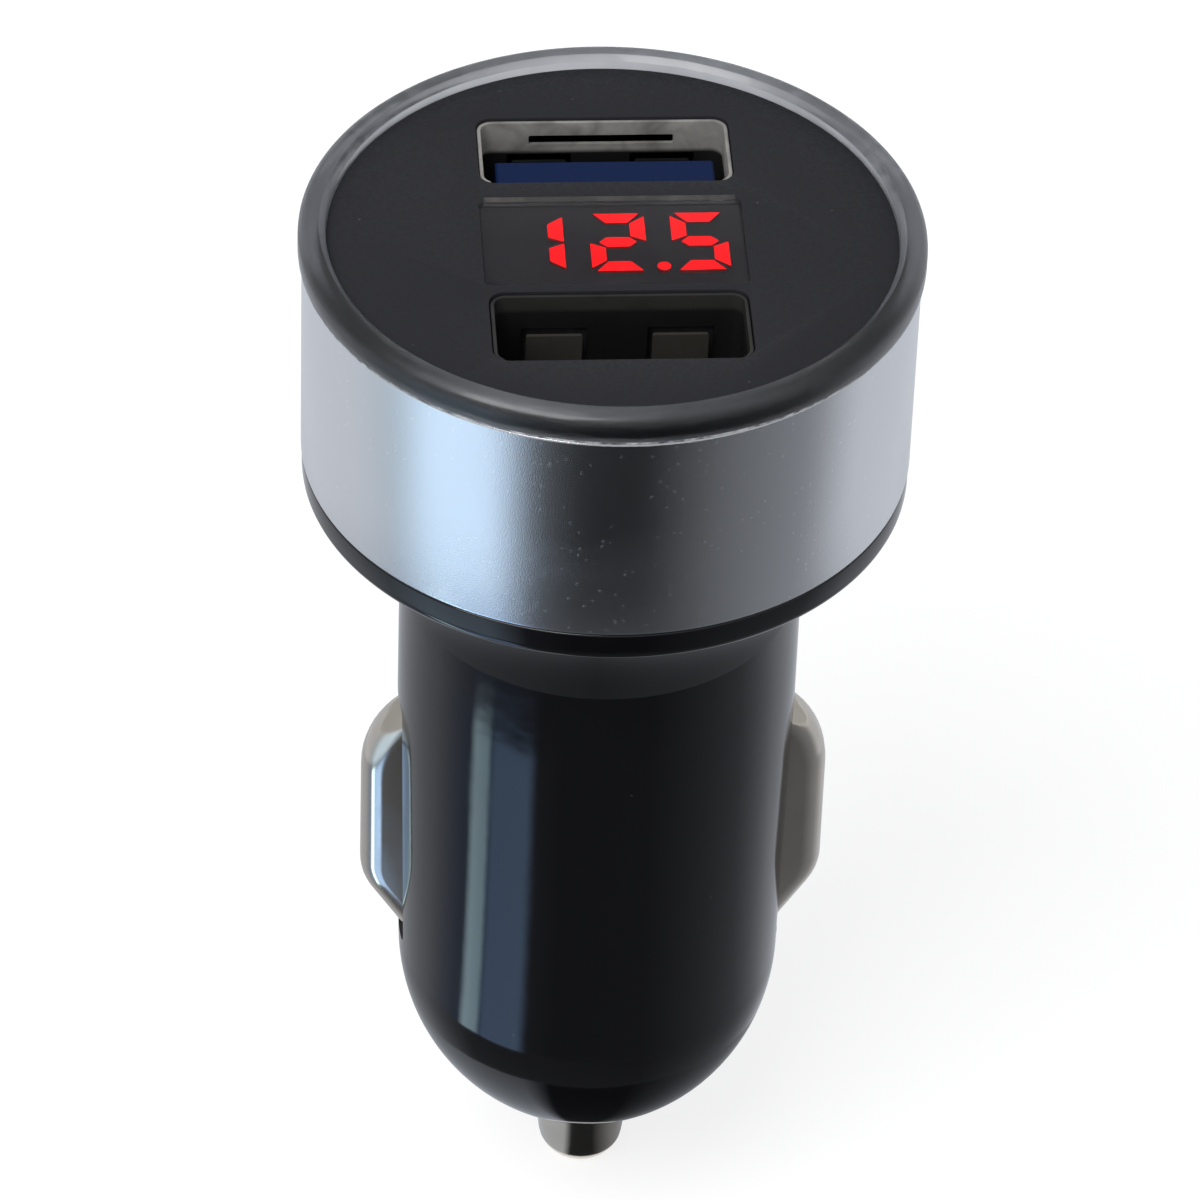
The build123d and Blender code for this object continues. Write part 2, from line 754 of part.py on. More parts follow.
# Ground springs: bowed leaves between the edges of the main board and the side contacts
leaf_base = board_waist + leaf_sheet / 2
leaf_top = flange_inner - seat_gap - leaf_sheet / 2
leaf_high = flange_high - leaf_inset
leaf_low = flange_low + leaf_inset
with BuildPart() as ground_spring_right:
    with BuildSketch(Plane.XZ):
        with BuildLine():
            FilletPolyline(
                (leaf_base, leaf_high),
                (leaf_base, leaf_high - leaf_foot),
                (leaf_top, flange_middle + leaf_crown / 2),
                (leaf_top, flange_middle - leaf_crown / 2),
                (leaf_base, leaf_low + leaf_foot),
                (leaf_base, leaf_low),
                radius=leaf_bend,
            )
        trace(line_width=leaf_sheet)
    extrude(amount=leaf_width / 2, both=True)
save(ground_spring_right, "ground_spring_right")

with BuildPart() as ground_spring_left:
    mirror(ground_spring_right.part, about=Plane.YZ)
save(ground_spring_left, "ground_spring_left")
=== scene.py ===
# %% [markdown]
# A charger plug for a car's 12 V socket, dressed over its measured frame.
# The frame gives every piece's place and size in metres. It is loaded first and never changed.
# New pieces are modelled over it, ride on its bodies, and take the place of its plain solids.

# %% Load the frame
import json
from math import cos, pi, radians, sin, tan

import bmesh
import bpy
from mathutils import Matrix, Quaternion, Vector

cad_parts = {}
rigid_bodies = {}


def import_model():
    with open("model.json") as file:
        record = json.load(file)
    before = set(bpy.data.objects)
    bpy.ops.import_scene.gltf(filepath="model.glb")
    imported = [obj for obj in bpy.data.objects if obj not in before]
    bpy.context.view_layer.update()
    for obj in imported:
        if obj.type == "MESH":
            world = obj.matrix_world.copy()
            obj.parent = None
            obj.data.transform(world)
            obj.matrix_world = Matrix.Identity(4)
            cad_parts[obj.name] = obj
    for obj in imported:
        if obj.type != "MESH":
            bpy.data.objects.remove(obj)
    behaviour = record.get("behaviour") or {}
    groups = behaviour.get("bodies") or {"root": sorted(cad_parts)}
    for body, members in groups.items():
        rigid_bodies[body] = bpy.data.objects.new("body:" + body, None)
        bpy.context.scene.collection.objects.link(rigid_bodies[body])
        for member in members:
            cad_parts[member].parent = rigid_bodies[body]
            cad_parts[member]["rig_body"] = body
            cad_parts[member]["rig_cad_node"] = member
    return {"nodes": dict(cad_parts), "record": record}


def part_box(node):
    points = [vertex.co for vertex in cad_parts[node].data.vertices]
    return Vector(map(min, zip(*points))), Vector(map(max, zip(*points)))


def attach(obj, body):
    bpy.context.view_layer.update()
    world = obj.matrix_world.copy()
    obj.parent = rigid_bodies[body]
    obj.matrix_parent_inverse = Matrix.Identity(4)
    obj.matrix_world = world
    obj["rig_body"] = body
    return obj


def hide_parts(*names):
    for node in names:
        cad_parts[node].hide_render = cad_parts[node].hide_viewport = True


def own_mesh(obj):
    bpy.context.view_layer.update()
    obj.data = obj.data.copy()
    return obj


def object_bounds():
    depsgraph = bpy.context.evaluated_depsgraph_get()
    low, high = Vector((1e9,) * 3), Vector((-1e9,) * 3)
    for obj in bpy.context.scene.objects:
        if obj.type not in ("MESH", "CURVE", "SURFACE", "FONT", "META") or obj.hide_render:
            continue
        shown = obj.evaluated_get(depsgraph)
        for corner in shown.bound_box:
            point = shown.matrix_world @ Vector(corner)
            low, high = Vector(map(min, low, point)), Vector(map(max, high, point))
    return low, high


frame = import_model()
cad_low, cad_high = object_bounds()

mm = 0.001
print("frame size in mm", [round(side / mm, 2) for side in cad_high - cad_low])

# %% [markdown]
# Operators act on whatever is selected, and loading leaves all the frame's nodes selected.
# So each step first clears the selection, and picks faces and edges in code, by their place.

# %% Selecting
def edit(piece):
    """Opens one piece in edit mode with nothing else selected."""
    if bpy.context.mode != "OBJECT":
        bpy.ops.object.mode_set(mode="OBJECT")
    bpy.ops.object.select_all(action="DESELECT")
    piece.select_set(True)
    bpy.context.view_layer.objects.active = piece
    bpy.ops.object.mode_set(mode="EDIT")


def choose(kind, test):
    """Selects the verts, edges or faces that pass the test, in the piece being edited."""
    mode = {"verts": "VERT", "edges": "EDGE", "faces": "FACE"}[kind]
    bpy.ops.mesh.select_mode(type=mode)
    bpy.ops.mesh.select_all(action="DESELECT")
    mesh = bmesh.from_edit_mesh(bpy.context.active_object.data)
    picked = [element for element in getattr(mesh, kind) if test(element)]
    for element in picked:
        element.select_set(True)
    mesh.select_flush_mode()
    bmesh.update_edit_mesh(bpy.context.active_object.data)
    return len(picked)


def apply(piece, kind, **values):
    """Adds a modifier with these values and applies it."""
    if bpy.context.mode != "OBJECT":
        bpy.ops.object.mode_set(mode="OBJECT")
    bpy.context.view_layer.objects.active = piece
    modifier = piece.modifiers.new(kind.lower(), kind)
    for name, value in values.items():
        setattr(modifier, name, value)
    bpy.ops.object.modifier_apply(modifier=modifier.name)


# %% [markdown]
# A piece that is ready goes to the body that it moves with. It stands for a solid of the frame,
# and that solid is hidden.

# %% Placing
carriers = {node: body for body, nodes in frame["record"]["behaviour"]["bodies"].items() for node in nodes}


def stand_for(piece, node, smooth=35):
    """Smooths a finished piece, and puts it in the place of a solid of the frame."""
    if bpy.context.mode != "OBJECT":
        bpy.ops.object.mode_set(mode="OBJECT")
    bpy.ops.object.select_all(action="DESELECT")
    piece.select_set(True)
    bpy.context.view_layer.objects.active = piece
    bpy.ops.object.shade_smooth_by_angle(angle=radians(smooth))
    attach(piece, carriers[node])
    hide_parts(node)
    print(piece.name, "stands for", node, "with", len(piece.data.polygons), "faces")


# %% [markdown]
# The plug is mostly round, and round pieces are spun from a section, as a lathe would turn them.
# A section is a chain of points in millimetres: distance from the axis, and height above the seat.
# Its corners are rounded here, because even a sharp moulded edge has a small radius that catches light.

# %% Sections
def rounded(corners, steps=5):
    """Returns the points of a closed section, with an arc at each corner that gives a radius."""
    points = []
    for place, (r, z, radius) in enumerate(corners):
        corner = Vector((r, z))
        if radius == 0:
            points.append(corner)
            continue
        before = (Vector(corners[place - 1][:2]) - corner).normalized()
        after = (Vector(corners[(place + 1) % len(corners)][:2]) - corner).normalized()
        half = before.angle(after) / 2
        middle = corner + (before + after).normalized() * radius / sin(half)
        first = corner + before * radius / tan(half) - middle
        last = corner + after * radius / tan(half) - middle
        points += [middle + first.slerp(last, step / steps) * first.length for step in range(steps + 1)]
    return points


def tangent_arc(start, direction, end, steps):
    """Returns points on the arc that leaves start in a direction and reaches end."""
    start, direction, end = Vector(start), Vector(direction), Vector(end)
    across = Vector((-direction.y, direction.x)).normalized()
    span = end - start
    middle = start + across * span.length_squared / (2 * across.dot(span))
    first, last = start - middle, end - middle
    return [middle + first.slerp(last, step / steps) * first.length for step in range(steps + 1)]


# %% [markdown]
# A chain is drawn as a hand would draw it, vertex by vertex, and a closed one is spun into a round piece.

# %% Drawing and spinning
def chain(name, points):
    """Draws a chain as by hand: one vertex, extruded from point to point."""
    if bpy.context.mode != "OBJECT":
        bpy.ops.object.mode_set(mode="OBJECT")
    bpy.ops.object.select_all(action="DESELECT")
    bpy.ops.mesh.primitive_plane_add(size=mm, location=points[0])
    piece = bpy.context.active_object
    piece.name = name
    bpy.ops.object.transform_apply()
    edit(piece)
    bpy.ops.mesh.select_mode(type="VERT")
    bpy.ops.mesh.select_all(action="SELECT")
    bpy.ops.mesh.merge(type="CENTER")
    for start, end in zip(points, points[1:]):
        bpy.ops.mesh.extrude_vertices_move(TRANSFORM_OT_translate={"value": end - start})
    return piece


def turned(name, section, steps=192):
    """Spins a closed section round the plug's axis."""
    points = [Vector((point.x, 0, point.y)) * mm for point in section]
    piece = chain(name, points)
    ends = (points[0], points[-1])
    choose("verts", lambda vert: min((vert.co - end).length for end in ends) < 1e-7)
    bpy.ops.mesh.edge_face_add()
    bpy.ops.mesh.select_all(action="SELECT")
    bpy.ops.mesh.spin(steps=steps, angle=2 * pi, center=(0, 0, 0), axis=(0, 0, 1))
    bpy.ops.mesh.select_all(action="SELECT")
    bpy.ops.mesh.remove_doubles(threshold=1e-6)
    bpy.ops.mesh.normals_make_consistent(inside=False)
    print(name, "spun from", len(section), "points")
    return piece


# %% [markdown]
# The black body is one glossy moulding: a cup for the head, a rounded lip that carries the metal ring,
# a flared neck, a barrel that thins slightly, and a domed nose with a hole for the centre contact.
# A screw modifier could turn it too. Spinning a closed section gives the wall its inside and its outside at once.

# %% Black body
shell_low, shell_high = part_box("plug_shell")
ring_low, ring_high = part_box("aluminium_ring")
barrel = frame["record"]["mounts"][0]["dims"]
barrel_radius = barrel["r_mm"]
straight_end = -barrel["length_mm"]
lip_radius = shell_high.x / mm
lip_top = ring_low.z / mm
cup_top = shell_high.z / mm
nose_end = shell_low.z / mm
cup_radius = 14.703
cup_bore = 13.503
cup_floor = 7.8
lip_bottom = 6.3
bore = 8.68
bore_end = -25.85
flange_seat = nose_end + 2.0
nose_hole = 2.8
taper = Vector((10.18, -25.6))
nose_rim = Vector((3.4, nose_end))
nose = tangent_arc(taper, (taper.x - barrel_radius, taper.y - straight_end), nose_rim, 28)
neck = tangent_arc((barrel_radius, 0), (0, 1), (lip_radius, lip_bottom), 16)
corners = [(point.x, point.y, 0) for point in reversed(nose)]
corners += [(barrel_radius, straight_end, 0), (barrel_radius, straight_end / 2, 0)]
corners += [(point.x, point.y, 0) for point in neck[:-1]]
corners += [
    (lip_radius, lip_bottom, 0.6),
    (lip_radius, lip_top, 0.12),
    (cup_radius, lip_top, 0),
    (cup_radius, cup_top, 0.1),
    (cup_bore, cup_top, 0.1),
    (cup_bore, cup_floor, 0),
    (bore, cup_floor, 0),
    (bore, bore_end, 0),
    (4.07, flange_seat, 0),
    (nose_hole, flange_seat, 0),
    (nose_hole, nose_end, 0.1),
]
body_moulding = turned("body_moulding", rounded(corners), 256)

# %% [markdown]
# Two slots let the side contacts through the barrel. A moulder would form them with side cores,
# and here one block with rounded edges is taken away, right across the barrel.

# %% Slots
def block(name, low, high, corner, steps=4):
    """Adds a cube between two corners and rounds its edges along the axis that is given with the radius."""
    if bpy.context.mode != "OBJECT":
        bpy.ops.object.mode_set(mode="OBJECT")
    low, high = Vector(low), Vector(high)
    bpy.ops.object.select_all(action="DESELECT")
    bpy.ops.mesh.primitive_cube_add(size=1, location=(low + high) / 2, scale=high - low)
    piece = bpy.context.active_object
    piece.name = name
    bpy.ops.object.transform_apply()
    edit(piece)
    axis, radius = corner
    along = Vector((axis == "x", axis == "y", axis == "z"))
    choose("edges", lambda edge: abs((edge.verts[0].co - edge.verts[1].co).normalized().dot(along)) > 0.9)
    bpy.ops.mesh.bevel(offset=radius, segments=steps)
    bpy.ops.object.mode_set(mode="OBJECT")
    return piece


def cut(piece, tool):
    """Takes a tool's shape out of a piece, and deletes the tool."""
    apply(piece, "BOOLEAN", object=tool, operation="DIFFERENCE", solver="EXACT")
    bpy.data.objects.remove(tool)


right_low, right_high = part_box("side_contact_right")
flange_overlap = 1.0
head, toe = right_high.z / mm - flange_overlap, right_low.z / mm + flange_overlap
slot_half, slot_gap = 1.85, 0.25
slot_low = Vector((-20, -slot_half, toe - slot_gap)) * mm
slot_high = Vector((20, slot_half, head + slot_gap)) * mm
slot_tool = block("slot_tool", slot_low, slot_high, ("x", 0.6 * mm))
cut(body_moulding, slot_tool)
stand_for(body_moulding, "plug_shell")

# %% [markdown]
# The satin sleeve round the head is a length of turned aluminium tube with its outer edges broken.

# %% Aluminium sleeve
sleeve_radius = ring_high.x / mm
sleeve_wall = 0.8
sleeve_bore = sleeve_radius - sleeve_wall
sleeve_top = ring_high.z / mm
sleeve = turned("sleeve", rounded([
    (sleeve_bore, lip_top, 0.05),
    (sleeve_radius, lip_top, 0.2),
    (sleeve_radius, sleeve_top, 0.2),
    (sleeve_bore, sleeve_top, 0.05),
]))
stand_for(sleeve, "aluminium_ring")

# %% [markdown]
# The clear rim is moulded in polished plastic. Its flange lies on the sleeve, its skirt goes down inside,
# and a ledge carries the face. It bends light, so its wall needs the true thickness inside as well.

# %% Clear rim
bezel_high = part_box("clear_bezel")[1]
face_low, face_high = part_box("face_panel")
rim_radius = bezel_high.x / mm
rim_top = bezel_high.z / mm
face_radius = face_high.x / mm
ledge = face_radius - 0.7
face_bore = face_radius + 0.05
clear_rim = turned("clear_rim", rounded([
    (ledge, cup_top, 0.05),
    (cup_radius, cup_top, 0.05),
    (cup_radius, sleeve_top, 0.05),
    (rim_radius, sleeve_top, 0.25),
    (rim_radius, rim_top, 0.65),
    (face_radius + 0.35, rim_top, 0.08),
    (face_bore, rim_top - 0.3, 0.08),
    (face_bore, face_low.z / mm, 0),
    (ledge, face_low.z / mm, 0.05),
], 7))
stand_for(clear_rim, "clear_bezel", 50)

# %% [markdown]
# The face is a dark disc with two cut-outs for the ports and a window for the display.
# A cylinder gives the disc, rounded blocks take out the openings, and a narrow bevel breaks the edges.
# The far edge of the window is chamfered with a tilted block, and shows as a faint light line.

# %% Face disc
bpy.ops.object.select_all(action="DESELECT")
bpy.ops.mesh.primitive_cylinder_add(
    vertices=192,
    radius=face_high.x,
    depth=face_high.z - face_low.z,
    location=(0, 0, (face_low.z + face_high.z) / 2),
)
face_disc = bpy.context.active_object
face_disc.name = "face_disc"
bpy.ops.object.transform_apply()
lens_low, lens_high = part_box("display_lens")
seat = Vector((0.05, 0.05, 0)) * mm
below, above = Vector((0, 0, face_low.z - mm)), Vector((0, 0, face_high.z + mm))
for port in ("usb_upper_shell", "usb_lower_shell"):
    low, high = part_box(port)
    low, high = Vector((low.x, low.y, 0)) - seat + below, Vector((high.x, high.y, 0)) + seat + above
    cut(face_disc, block("port_tool", low, high, ("z", 0.85 * mm), 6))
low, high = Vector((lens_low.x, lens_low.y, 0)), Vector((lens_high.x, lens_high.y, 0))
cut(face_disc, block("window_tool", low + below, high + above, ("z", 0.25 * mm)))
edit(face_disc)
bpy.ops.mesh.select_all(action="SELECT")
bpy.ops.mesh.remove_doubles(threshold=1e-6)


def top_rim(edge):
    """Tells whether an edge lies between the top of the disc and one of its walls."""
    if abs(edge.verts[0].co.z - face_high.z) > 1e-6 or abs(edge.verts[1].co.z - face_high.z) > 1e-6:
        return False
    return len(edge.link_faces) == 2 and edge.calc_face_angle() > 1


def by_window(edge):
    """Tells whether an edge lies along the window."""
    return all(
        lens_low.y - 1e-5 < vert.co.y < lens_high.y + 1e-5 and abs(vert.co.x) < 8 * mm
        for vert in edge.verts
    )


print("edges round the ports", choose("edges", lambda edge: top_rim(edge) and not by_window(edge)))
bpy.ops.mesh.bevel(offset=0.08 * mm, segments=2)
chamfer_half = 0.3 * mm
corner = Vector((0, lens_high.y, face_high.z))
reach = Vector((lens_high.x - 0.25 * mm, chamfer_half, chamfer_half))
chamfer_tool = block("chamfer_tool", corner - reach, corner + reach, ("x", 0.02 * mm), 1)
edit(chamfer_tool)
bpy.ops.mesh.select_all(action="SELECT")
bpy.ops.transform.rotate(value=radians(45), orient_axis="X", center_override=corner)
cut(face_disc, chamfer_tool)
stand_for(face_disc, "face_panel")

# %% [markdown]
# The display's window is a smoked block, pushed in flush with the face, with its top edge just broken.

# %% Display window
window = block("window", lens_low, lens_high, ("z", 0.25 * mm))
edit(window)
choose("edges", lambda edge: min(vert.co.z for vert in edge.verts) > lens_high.z - 1e-6)
bpy.ops.mesh.bevel(offset=0.02 * mm, segments=2)
stand_for(window, "display_lens")

# %% [markdown]
# A port's shell is folded from thin sheet: a rounded tube with two spring fingers cut in each wide wall.
# The tube is a hollow block with its wall added inwards, and its near wall stands a little lower.
# Windows are taken out of it, and each finger is a thin block whose free end is moved in,
# as the press sets it. The far port has one more slot.

# %% Port shells
sheet = 0.2 * mm
finger_width, finger_length, finger_gap = 2.8 * mm, 4.6 * mm, 0.25 * mm
finger_sink, finger_place, finger_bend = 2.2 * mm, 3.15 * mm, 0.35 * mm
slot_reach, slot_sink, slot_end = 3.7 * mm, 0.8 * mm, 1.35 * mm
near_wall_drop = 0.12 * mm


def port_tube(name, node, lip_slot):
    """Makes one port's shell with its fingers."""
    low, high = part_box(node)
    tube = block(name, low, high, ("z", 0.8 * mm), 6)
    edit(tube)
    choose("faces", lambda face: abs(face.normal.z) > 0.9)
    bpy.ops.mesh.delete(type="FACE")
    apply(tube, "SOLIDIFY", thickness=sheet, offset=-1)
    edit(tube)
    choose(
        "edges",
        lambda edge: min(vert.co.z for vert in edge.verts) > high.z - 1e-6 and edge.calc_face_angle() > 1,
    )
    bpy.ops.mesh.bevel(offset=0.05 * mm, segments=2)
    choose("verts", lambda vert: vert.co.z > high.z - 0.1 * mm and vert.co.y < low.y + 0.25 * mm)
    bpy.ops.transform.translate(value=(0, 0, -near_wall_drop))
    free_end = high.z - finger_sink
    root = free_end - finger_length
    pressed = []
    for middle in (-finger_place, finger_place):
        half = finger_width / 2 + finger_gap
        tool_low = (middle - half, low.y - mm, root)
        tool_high = (middle + half, high.y + mm, free_end + finger_gap)
        cut(tube, block("finger_tool", tool_low, tool_high, ("y", 0.1 * mm)))
        for wall, inwards in ((low.y, 1), (high.y - sheet, -1)):
            finger_low = (middle - finger_width / 2, wall, root)
            finger_high = (middle + finger_width / 2, wall + sheet, free_end)
            finger = block("finger", finger_low, finger_high, ("y", 0.12 * mm))
            edit(finger)
            choose("verts", lambda vert: vert.co.z > root + finger_length / 2)
            bpy.ops.transform.translate(value=(0, inwards * finger_bend, 0))
            pressed.append(finger)
    if lip_slot:
        tool_low = (-slot_reach, high.y - mm, high.z - slot_end)
        tool_high = (slot_reach, high.y + mm, high.z - slot_sink)
        cut(tube, block("lip_tool", tool_low, tool_high, ("y", 0.1 * mm)))
    bpy.ops.object.mode_set(mode="OBJECT")
    bpy.ops.object.select_all(action="DESELECT")
    for finger in pressed:
        finger.select_set(True)
    tube.select_set(True)
    bpy.context.view_layer.objects.active = tube
    bpy.ops.object.join()
    stand_for(tube, node)
    return tube


upper_port = port_tube("upper_port", "usb_upper_shell", True)
lower_port = port_tube("lower_port", "usb_lower_shell", False)

# %% [markdown]
# The side contacts are drawn from plated sheet: a hollow hump with a rounded upper end, a flat crown and
# a ramp at the foot, on a flange that bears on the inside of the barrel. The side outline is drawn as a chain,
# filled and extruded. A tilted cut on each side gives the flanks their draft, a bevel rounds the drawn edge,
# and the open back is spread into the flange before the sheet gets its thickness.

# %% Side contacts
contact_sheet, contact_half, flange_width = 0.35, 1.6, 5.0
crown_top, crown_foot, ramp_angle = -13.6, -20.9, radians(33)
crown = right_high.x / mm
flange_front = right_low.x / mm + contact_sheet
hump_height = crown - flange_front
shoulder = [
    Vector((
        flange_front + hump_height * sin(step * pi / 28),
        crown_top + (head - crown_top) * cos(step * pi / 28),
    ))
    for step in range(15)
]
ramp_reach = crown - (crown_foot - toe) * tan(ramp_angle)
foot = rounded([
    (crown, crown_top, 0),
    (crown, crown_foot, 3.5),
    (ramp_reach, toe, 1.4),
    (flange_front, toe, 0),
], 9)
outline = [Vector((point.x, -4, point.y)) * mm for point in shoulder[:-1] + foot]
hump = chain("right_pressing", outline)
bpy.ops.mesh.select_all(action="SELECT")
bpy.ops.mesh.edge_face_add()
bpy.ops.mesh.extrude_region_move(TRANSFORM_OT_translate={"value": (0, 8 * mm, 0)})
bpy.ops.mesh.select_all(action="SELECT")
bpy.ops.mesh.normals_make_consistent(inside=False)
draft = radians(4)
for side in (-1, 1):
    bpy.ops.mesh.select_all(action="SELECT")
    bpy.ops.mesh.bisect(
        plane_co=(flange_front * mm, side * contact_half * mm, 0),
        plane_no=(sin(draft), side * cos(draft), 0),
        use_fill=True,
        clear_outer=True,
    )
print("hump outline", len(outline), "points")

# %% [markdown]
# Drawing the sheet rounds its edges and leaves the back open. The rim of that opening becomes the flange,
# and the left contact is the mirror image of the right one.

# %% Rounded edge, flange and thickness of the contacts
back = flange_front * mm


def flank_edge(edge):
    """Tells whether an edge lies between a flank and the drawn skin."""
    if max(abs(vert.co.x - back) for vert in edge.verts) < 1e-6 or len(edge.link_faces) != 2:
        return False
    steep = [abs(face.normal.y) > 0.9 for face in edge.link_faces]
    return steep[0] != steep[1]


print("drawn edges", choose("edges", flank_edge))
bpy.ops.mesh.bevel(offset=1.15 * mm, segments=8)
choose("faces", lambda face: face.normal.x < -0.9 and abs(face.calc_center_median().x - back) < 1e-6)
bpy.ops.mesh.delete(type="FACE")
choose("edges", lambda edge: edge.is_boundary)
bpy.ops.mesh.extrude_edges_move()
bpy.ops.transform.resize(
    value=(1, flange_width / (2 * contact_half), (head - toe + 2 * flange_overlap) / (head - toe)),
    center_override=(back, 0, (head + toe) / 2 * mm),
)
bpy.ops.mesh.select_all(action="SELECT")
bpy.ops.mesh.remove_doubles(threshold=1e-6)
apply(hump, "SOLIDIFY", thickness=contact_sheet * mm, offset=-1)
apply(hump, "WEIGHTED_NORMAL", keep_sharp=True)
bpy.ops.object.select_all(action="DESELECT")
hump.select_set(True)
bpy.context.view_layer.objects.active = hump
bpy.ops.object.duplicate()
left_hump = bpy.context.active_object
left_hump.name = "left_pressing"
edit(left_hump)
bpy.ops.mesh.select_all(action="SELECT")
bpy.ops.transform.resize(value=(-1, 1, 1), center_override=(0, 0, 0))
bpy.ops.mesh.normals_make_consistent(inside=False)
stand_for(hump, "side_contact_right")
stand_for(left_hump, "side_contact_left")

# %% [markdown]
# The centre contact is turned from bar and plated: a pin that tapers to a rounded end, a flange that stops it
# in the nose, and a bore for its spring.

# %% Centre contact
tip_low, tip_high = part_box("centre_contact")
tip_end, tip_back = tip_low.z / mm, tip_high.z / mm
tip_flange = tip_high.x / mm
spring_bore, bore_bottom = 1.835, tip_end + 2.2
tip_pin = turned("tip_pin", rounded([
    (0, tip_end, 0),
    (2.1, tip_end, 1.7),
    (2.7, nose_end - 0.6, 0.5),
    (2.7, tip_back - 1.0, 0),
    (tip_flange, tip_back - 1.0, 0.08),
    (tip_flange, tip_back, 0.15),
    (spring_bore, tip_back, 0.15),
    (spring_bore, bore_bottom, 0.2),
    (0, bore_bottom, 0),
], 8), 128)
stand_for(tip_pin, "centre_contact")

# %% [markdown]
# Three springs press the contacts out: a coil behind the tip, and a bowed leaf behind each side contact.
# They are hidden, so a merged copy of each solid is enough. A spring gets shorter as its contact
# goes in, towards the board that holds its other end.

# %% Springs
def spring(name, node):
    """Copies a spring's solid, merges it, and puts it in that solid's place."""
    if bpy.context.mode != "OBJECT":
        bpy.ops.object.mode_set(mode="OBJECT")
    bpy.ops.object.select_all(action="DESELECT")
    frame["nodes"][node].select_set(True)
    bpy.context.view_layer.objects.active = frame["nodes"][node]
    bpy.ops.object.duplicate()
    piece = bpy.context.active_object
    piece.name = name
    piece.parent = None
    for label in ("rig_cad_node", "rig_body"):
        del piece[label]
    edit(piece)
    bpy.ops.mesh.select_all(action="SELECT")
    bpy.ops.mesh.remove_doubles(threshold=1e-7)
    stand_for(piece, node)
    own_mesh(piece)
    return piece


tip_coil = spring("tip_coil", "contact_spring")
right_leaf = spring(
    "right_leaf", "ground_spring_right"
)
left_leaf = spring(
    "left_leaf", "ground_spring_left"
)

# %% [markdown]
# Finishes are built from a few shared effects. Each is a node group with named inputs, so that a moulded grain
# or a fingerprint is drawn once and used at its own scale on each finish. Patterns read Object coordinates,
# in metres, so they stay on the piece when it moves.

# %% Shared effects
def effect(name, inputs, outputs):
    """Starts a node group with float sockets, and returns it with its two ends."""
    group = bpy.data.node_groups.new(name, "ShaderNodeTree")
    for label, value in inputs.items():
        socket = group.interface.new_socket(label, in_out="INPUT", socket_type="NodeSocketFloat")
        socket.default_value = value
    for label in outputs:
        group.interface.new_socket(label, in_out="OUTPUT", socket_type="NodeSocketFloat")
    return group, group.nodes.new("NodeGroupInput"), group.nodes.new("NodeGroupOutput")


def add(tree, kind, **values):
    """Adds a node, with its settings by name and its socket values by label."""
    node = tree.nodes.new("ShaderNode" + kind)
    for label, value in values.items():
        if hasattr(node, label):
            setattr(node, label, value)
        else:
            node.inputs[label.replace("_", " ")].default_value = value
    return node


def ramp(tree, source, low, high, to_low=0.0, to_high=1.0):
    """Stretches a value from one range to another, and clips it there."""
    node = add(tree, "MapRange", From_Min=low, From_Max=high, To_Min=to_low, To_Max=to_high)
    tree.links.new(source, node.inputs["Value"])
    return node.outputs["Result"]


grain, start, end = effect("fine_grain", {"Scale": 4000.0, "Detail": 2.0}, ["Height", "Shade"])
place = add(grain, "TexCoord")
noise = add(grain, "TexNoise")
grain.links.new(place.outputs["Object"], noise.inputs["Vector"])
grain.links.new(start.outputs["Scale"], noise.inputs["Scale"])
grain.links.new(start.outputs["Detail"], noise.inputs["Detail"])
grain.links.new(noise.outputs["Fac"], end.inputs["Height"])
grain.links.new(ramp(grain, noise.outputs["Fac"], 0.35, 0.65), end.inputs["Shade"])

marks, start, end = effect("handling_marks", {"Size": 160.0}, ["Smudge"])
place = add(marks, "TexCoord")
smudge = add(marks, "TexNoise", Detail=4.0, Distortion=0.6)
marks.links.new(place.outputs["Object"], smudge.inputs["Vector"])
marks.links.new(start.outputs["Size"], smudge.inputs["Scale"])
marks.links.new(ramp(marks, smudge.outputs["Fac"], 0.45, 0.75), end.inputs["Smudge"])

specks, start, end = effect("dust_specks", {"Scale": 900.0, "Size": 0.09}, ["Speck"])
place = add(specks, "TexCoord")
cells = add(specks, "TexVoronoi")
specks.links.new(place.outputs["Object"], cells.inputs["Vector"])
specks.links.new(start.outputs["Scale"], cells.inputs["Scale"])
near = add(specks, "Math", operation="LESS_THAN")
specks.links.new(cells.outputs["Distance"], near.inputs[0])
specks.links.new(start.outputs["Size"], near.inputs[1])
few = add(specks, "SeparateColor")
specks.links.new(cells.outputs["Color"], few.inputs["Color"])
rare = add(specks, "Math", operation="MULTIPLY")
specks.links.new(near.outputs["Value"], rare.inputs[0])
specks.links.new(ramp(specks, few.outputs["Red"], 0.7, 0.75), rare.inputs[1])
specks.links.new(rare.outputs["Value"], end.inputs["Speck"])

lines, start, end = effect("tool_lines", {"Along": 40.0, "Across": 9000.0}, ["Height"])
place = add(lines, "TexCoord")
spread = add(lines, "CombineXYZ")
lines.links.new(start.outputs["Along"], spread.inputs["X"])
lines.links.new(start.outputs["Along"], spread.inputs["Y"])
lines.links.new(start.outputs["Across"], spread.inputs["Z"])
stretch = add(lines, "VectorMath", operation="MULTIPLY")
lines.links.new(place.outputs["Object"], stretch.inputs[0])
lines.links.new(spread.outputs["Vector"], stretch.inputs[1])
noise = add(lines, "TexNoise", Scale=1.0, Detail=3.0)
lines.links.new(stretch.outputs["Vector"], noise.inputs["Vector"])
lines.links.new(noise.outputs["Fac"], end.inputs["Height"])
print("shared effects", [group.name for group in bpy.data.node_groups])

# %% [markdown]
# Each finish mixes two colours by a mask, moves its roughness by another, and lifts its surface with a bump.
# What is the same all over is set on the shader itself.

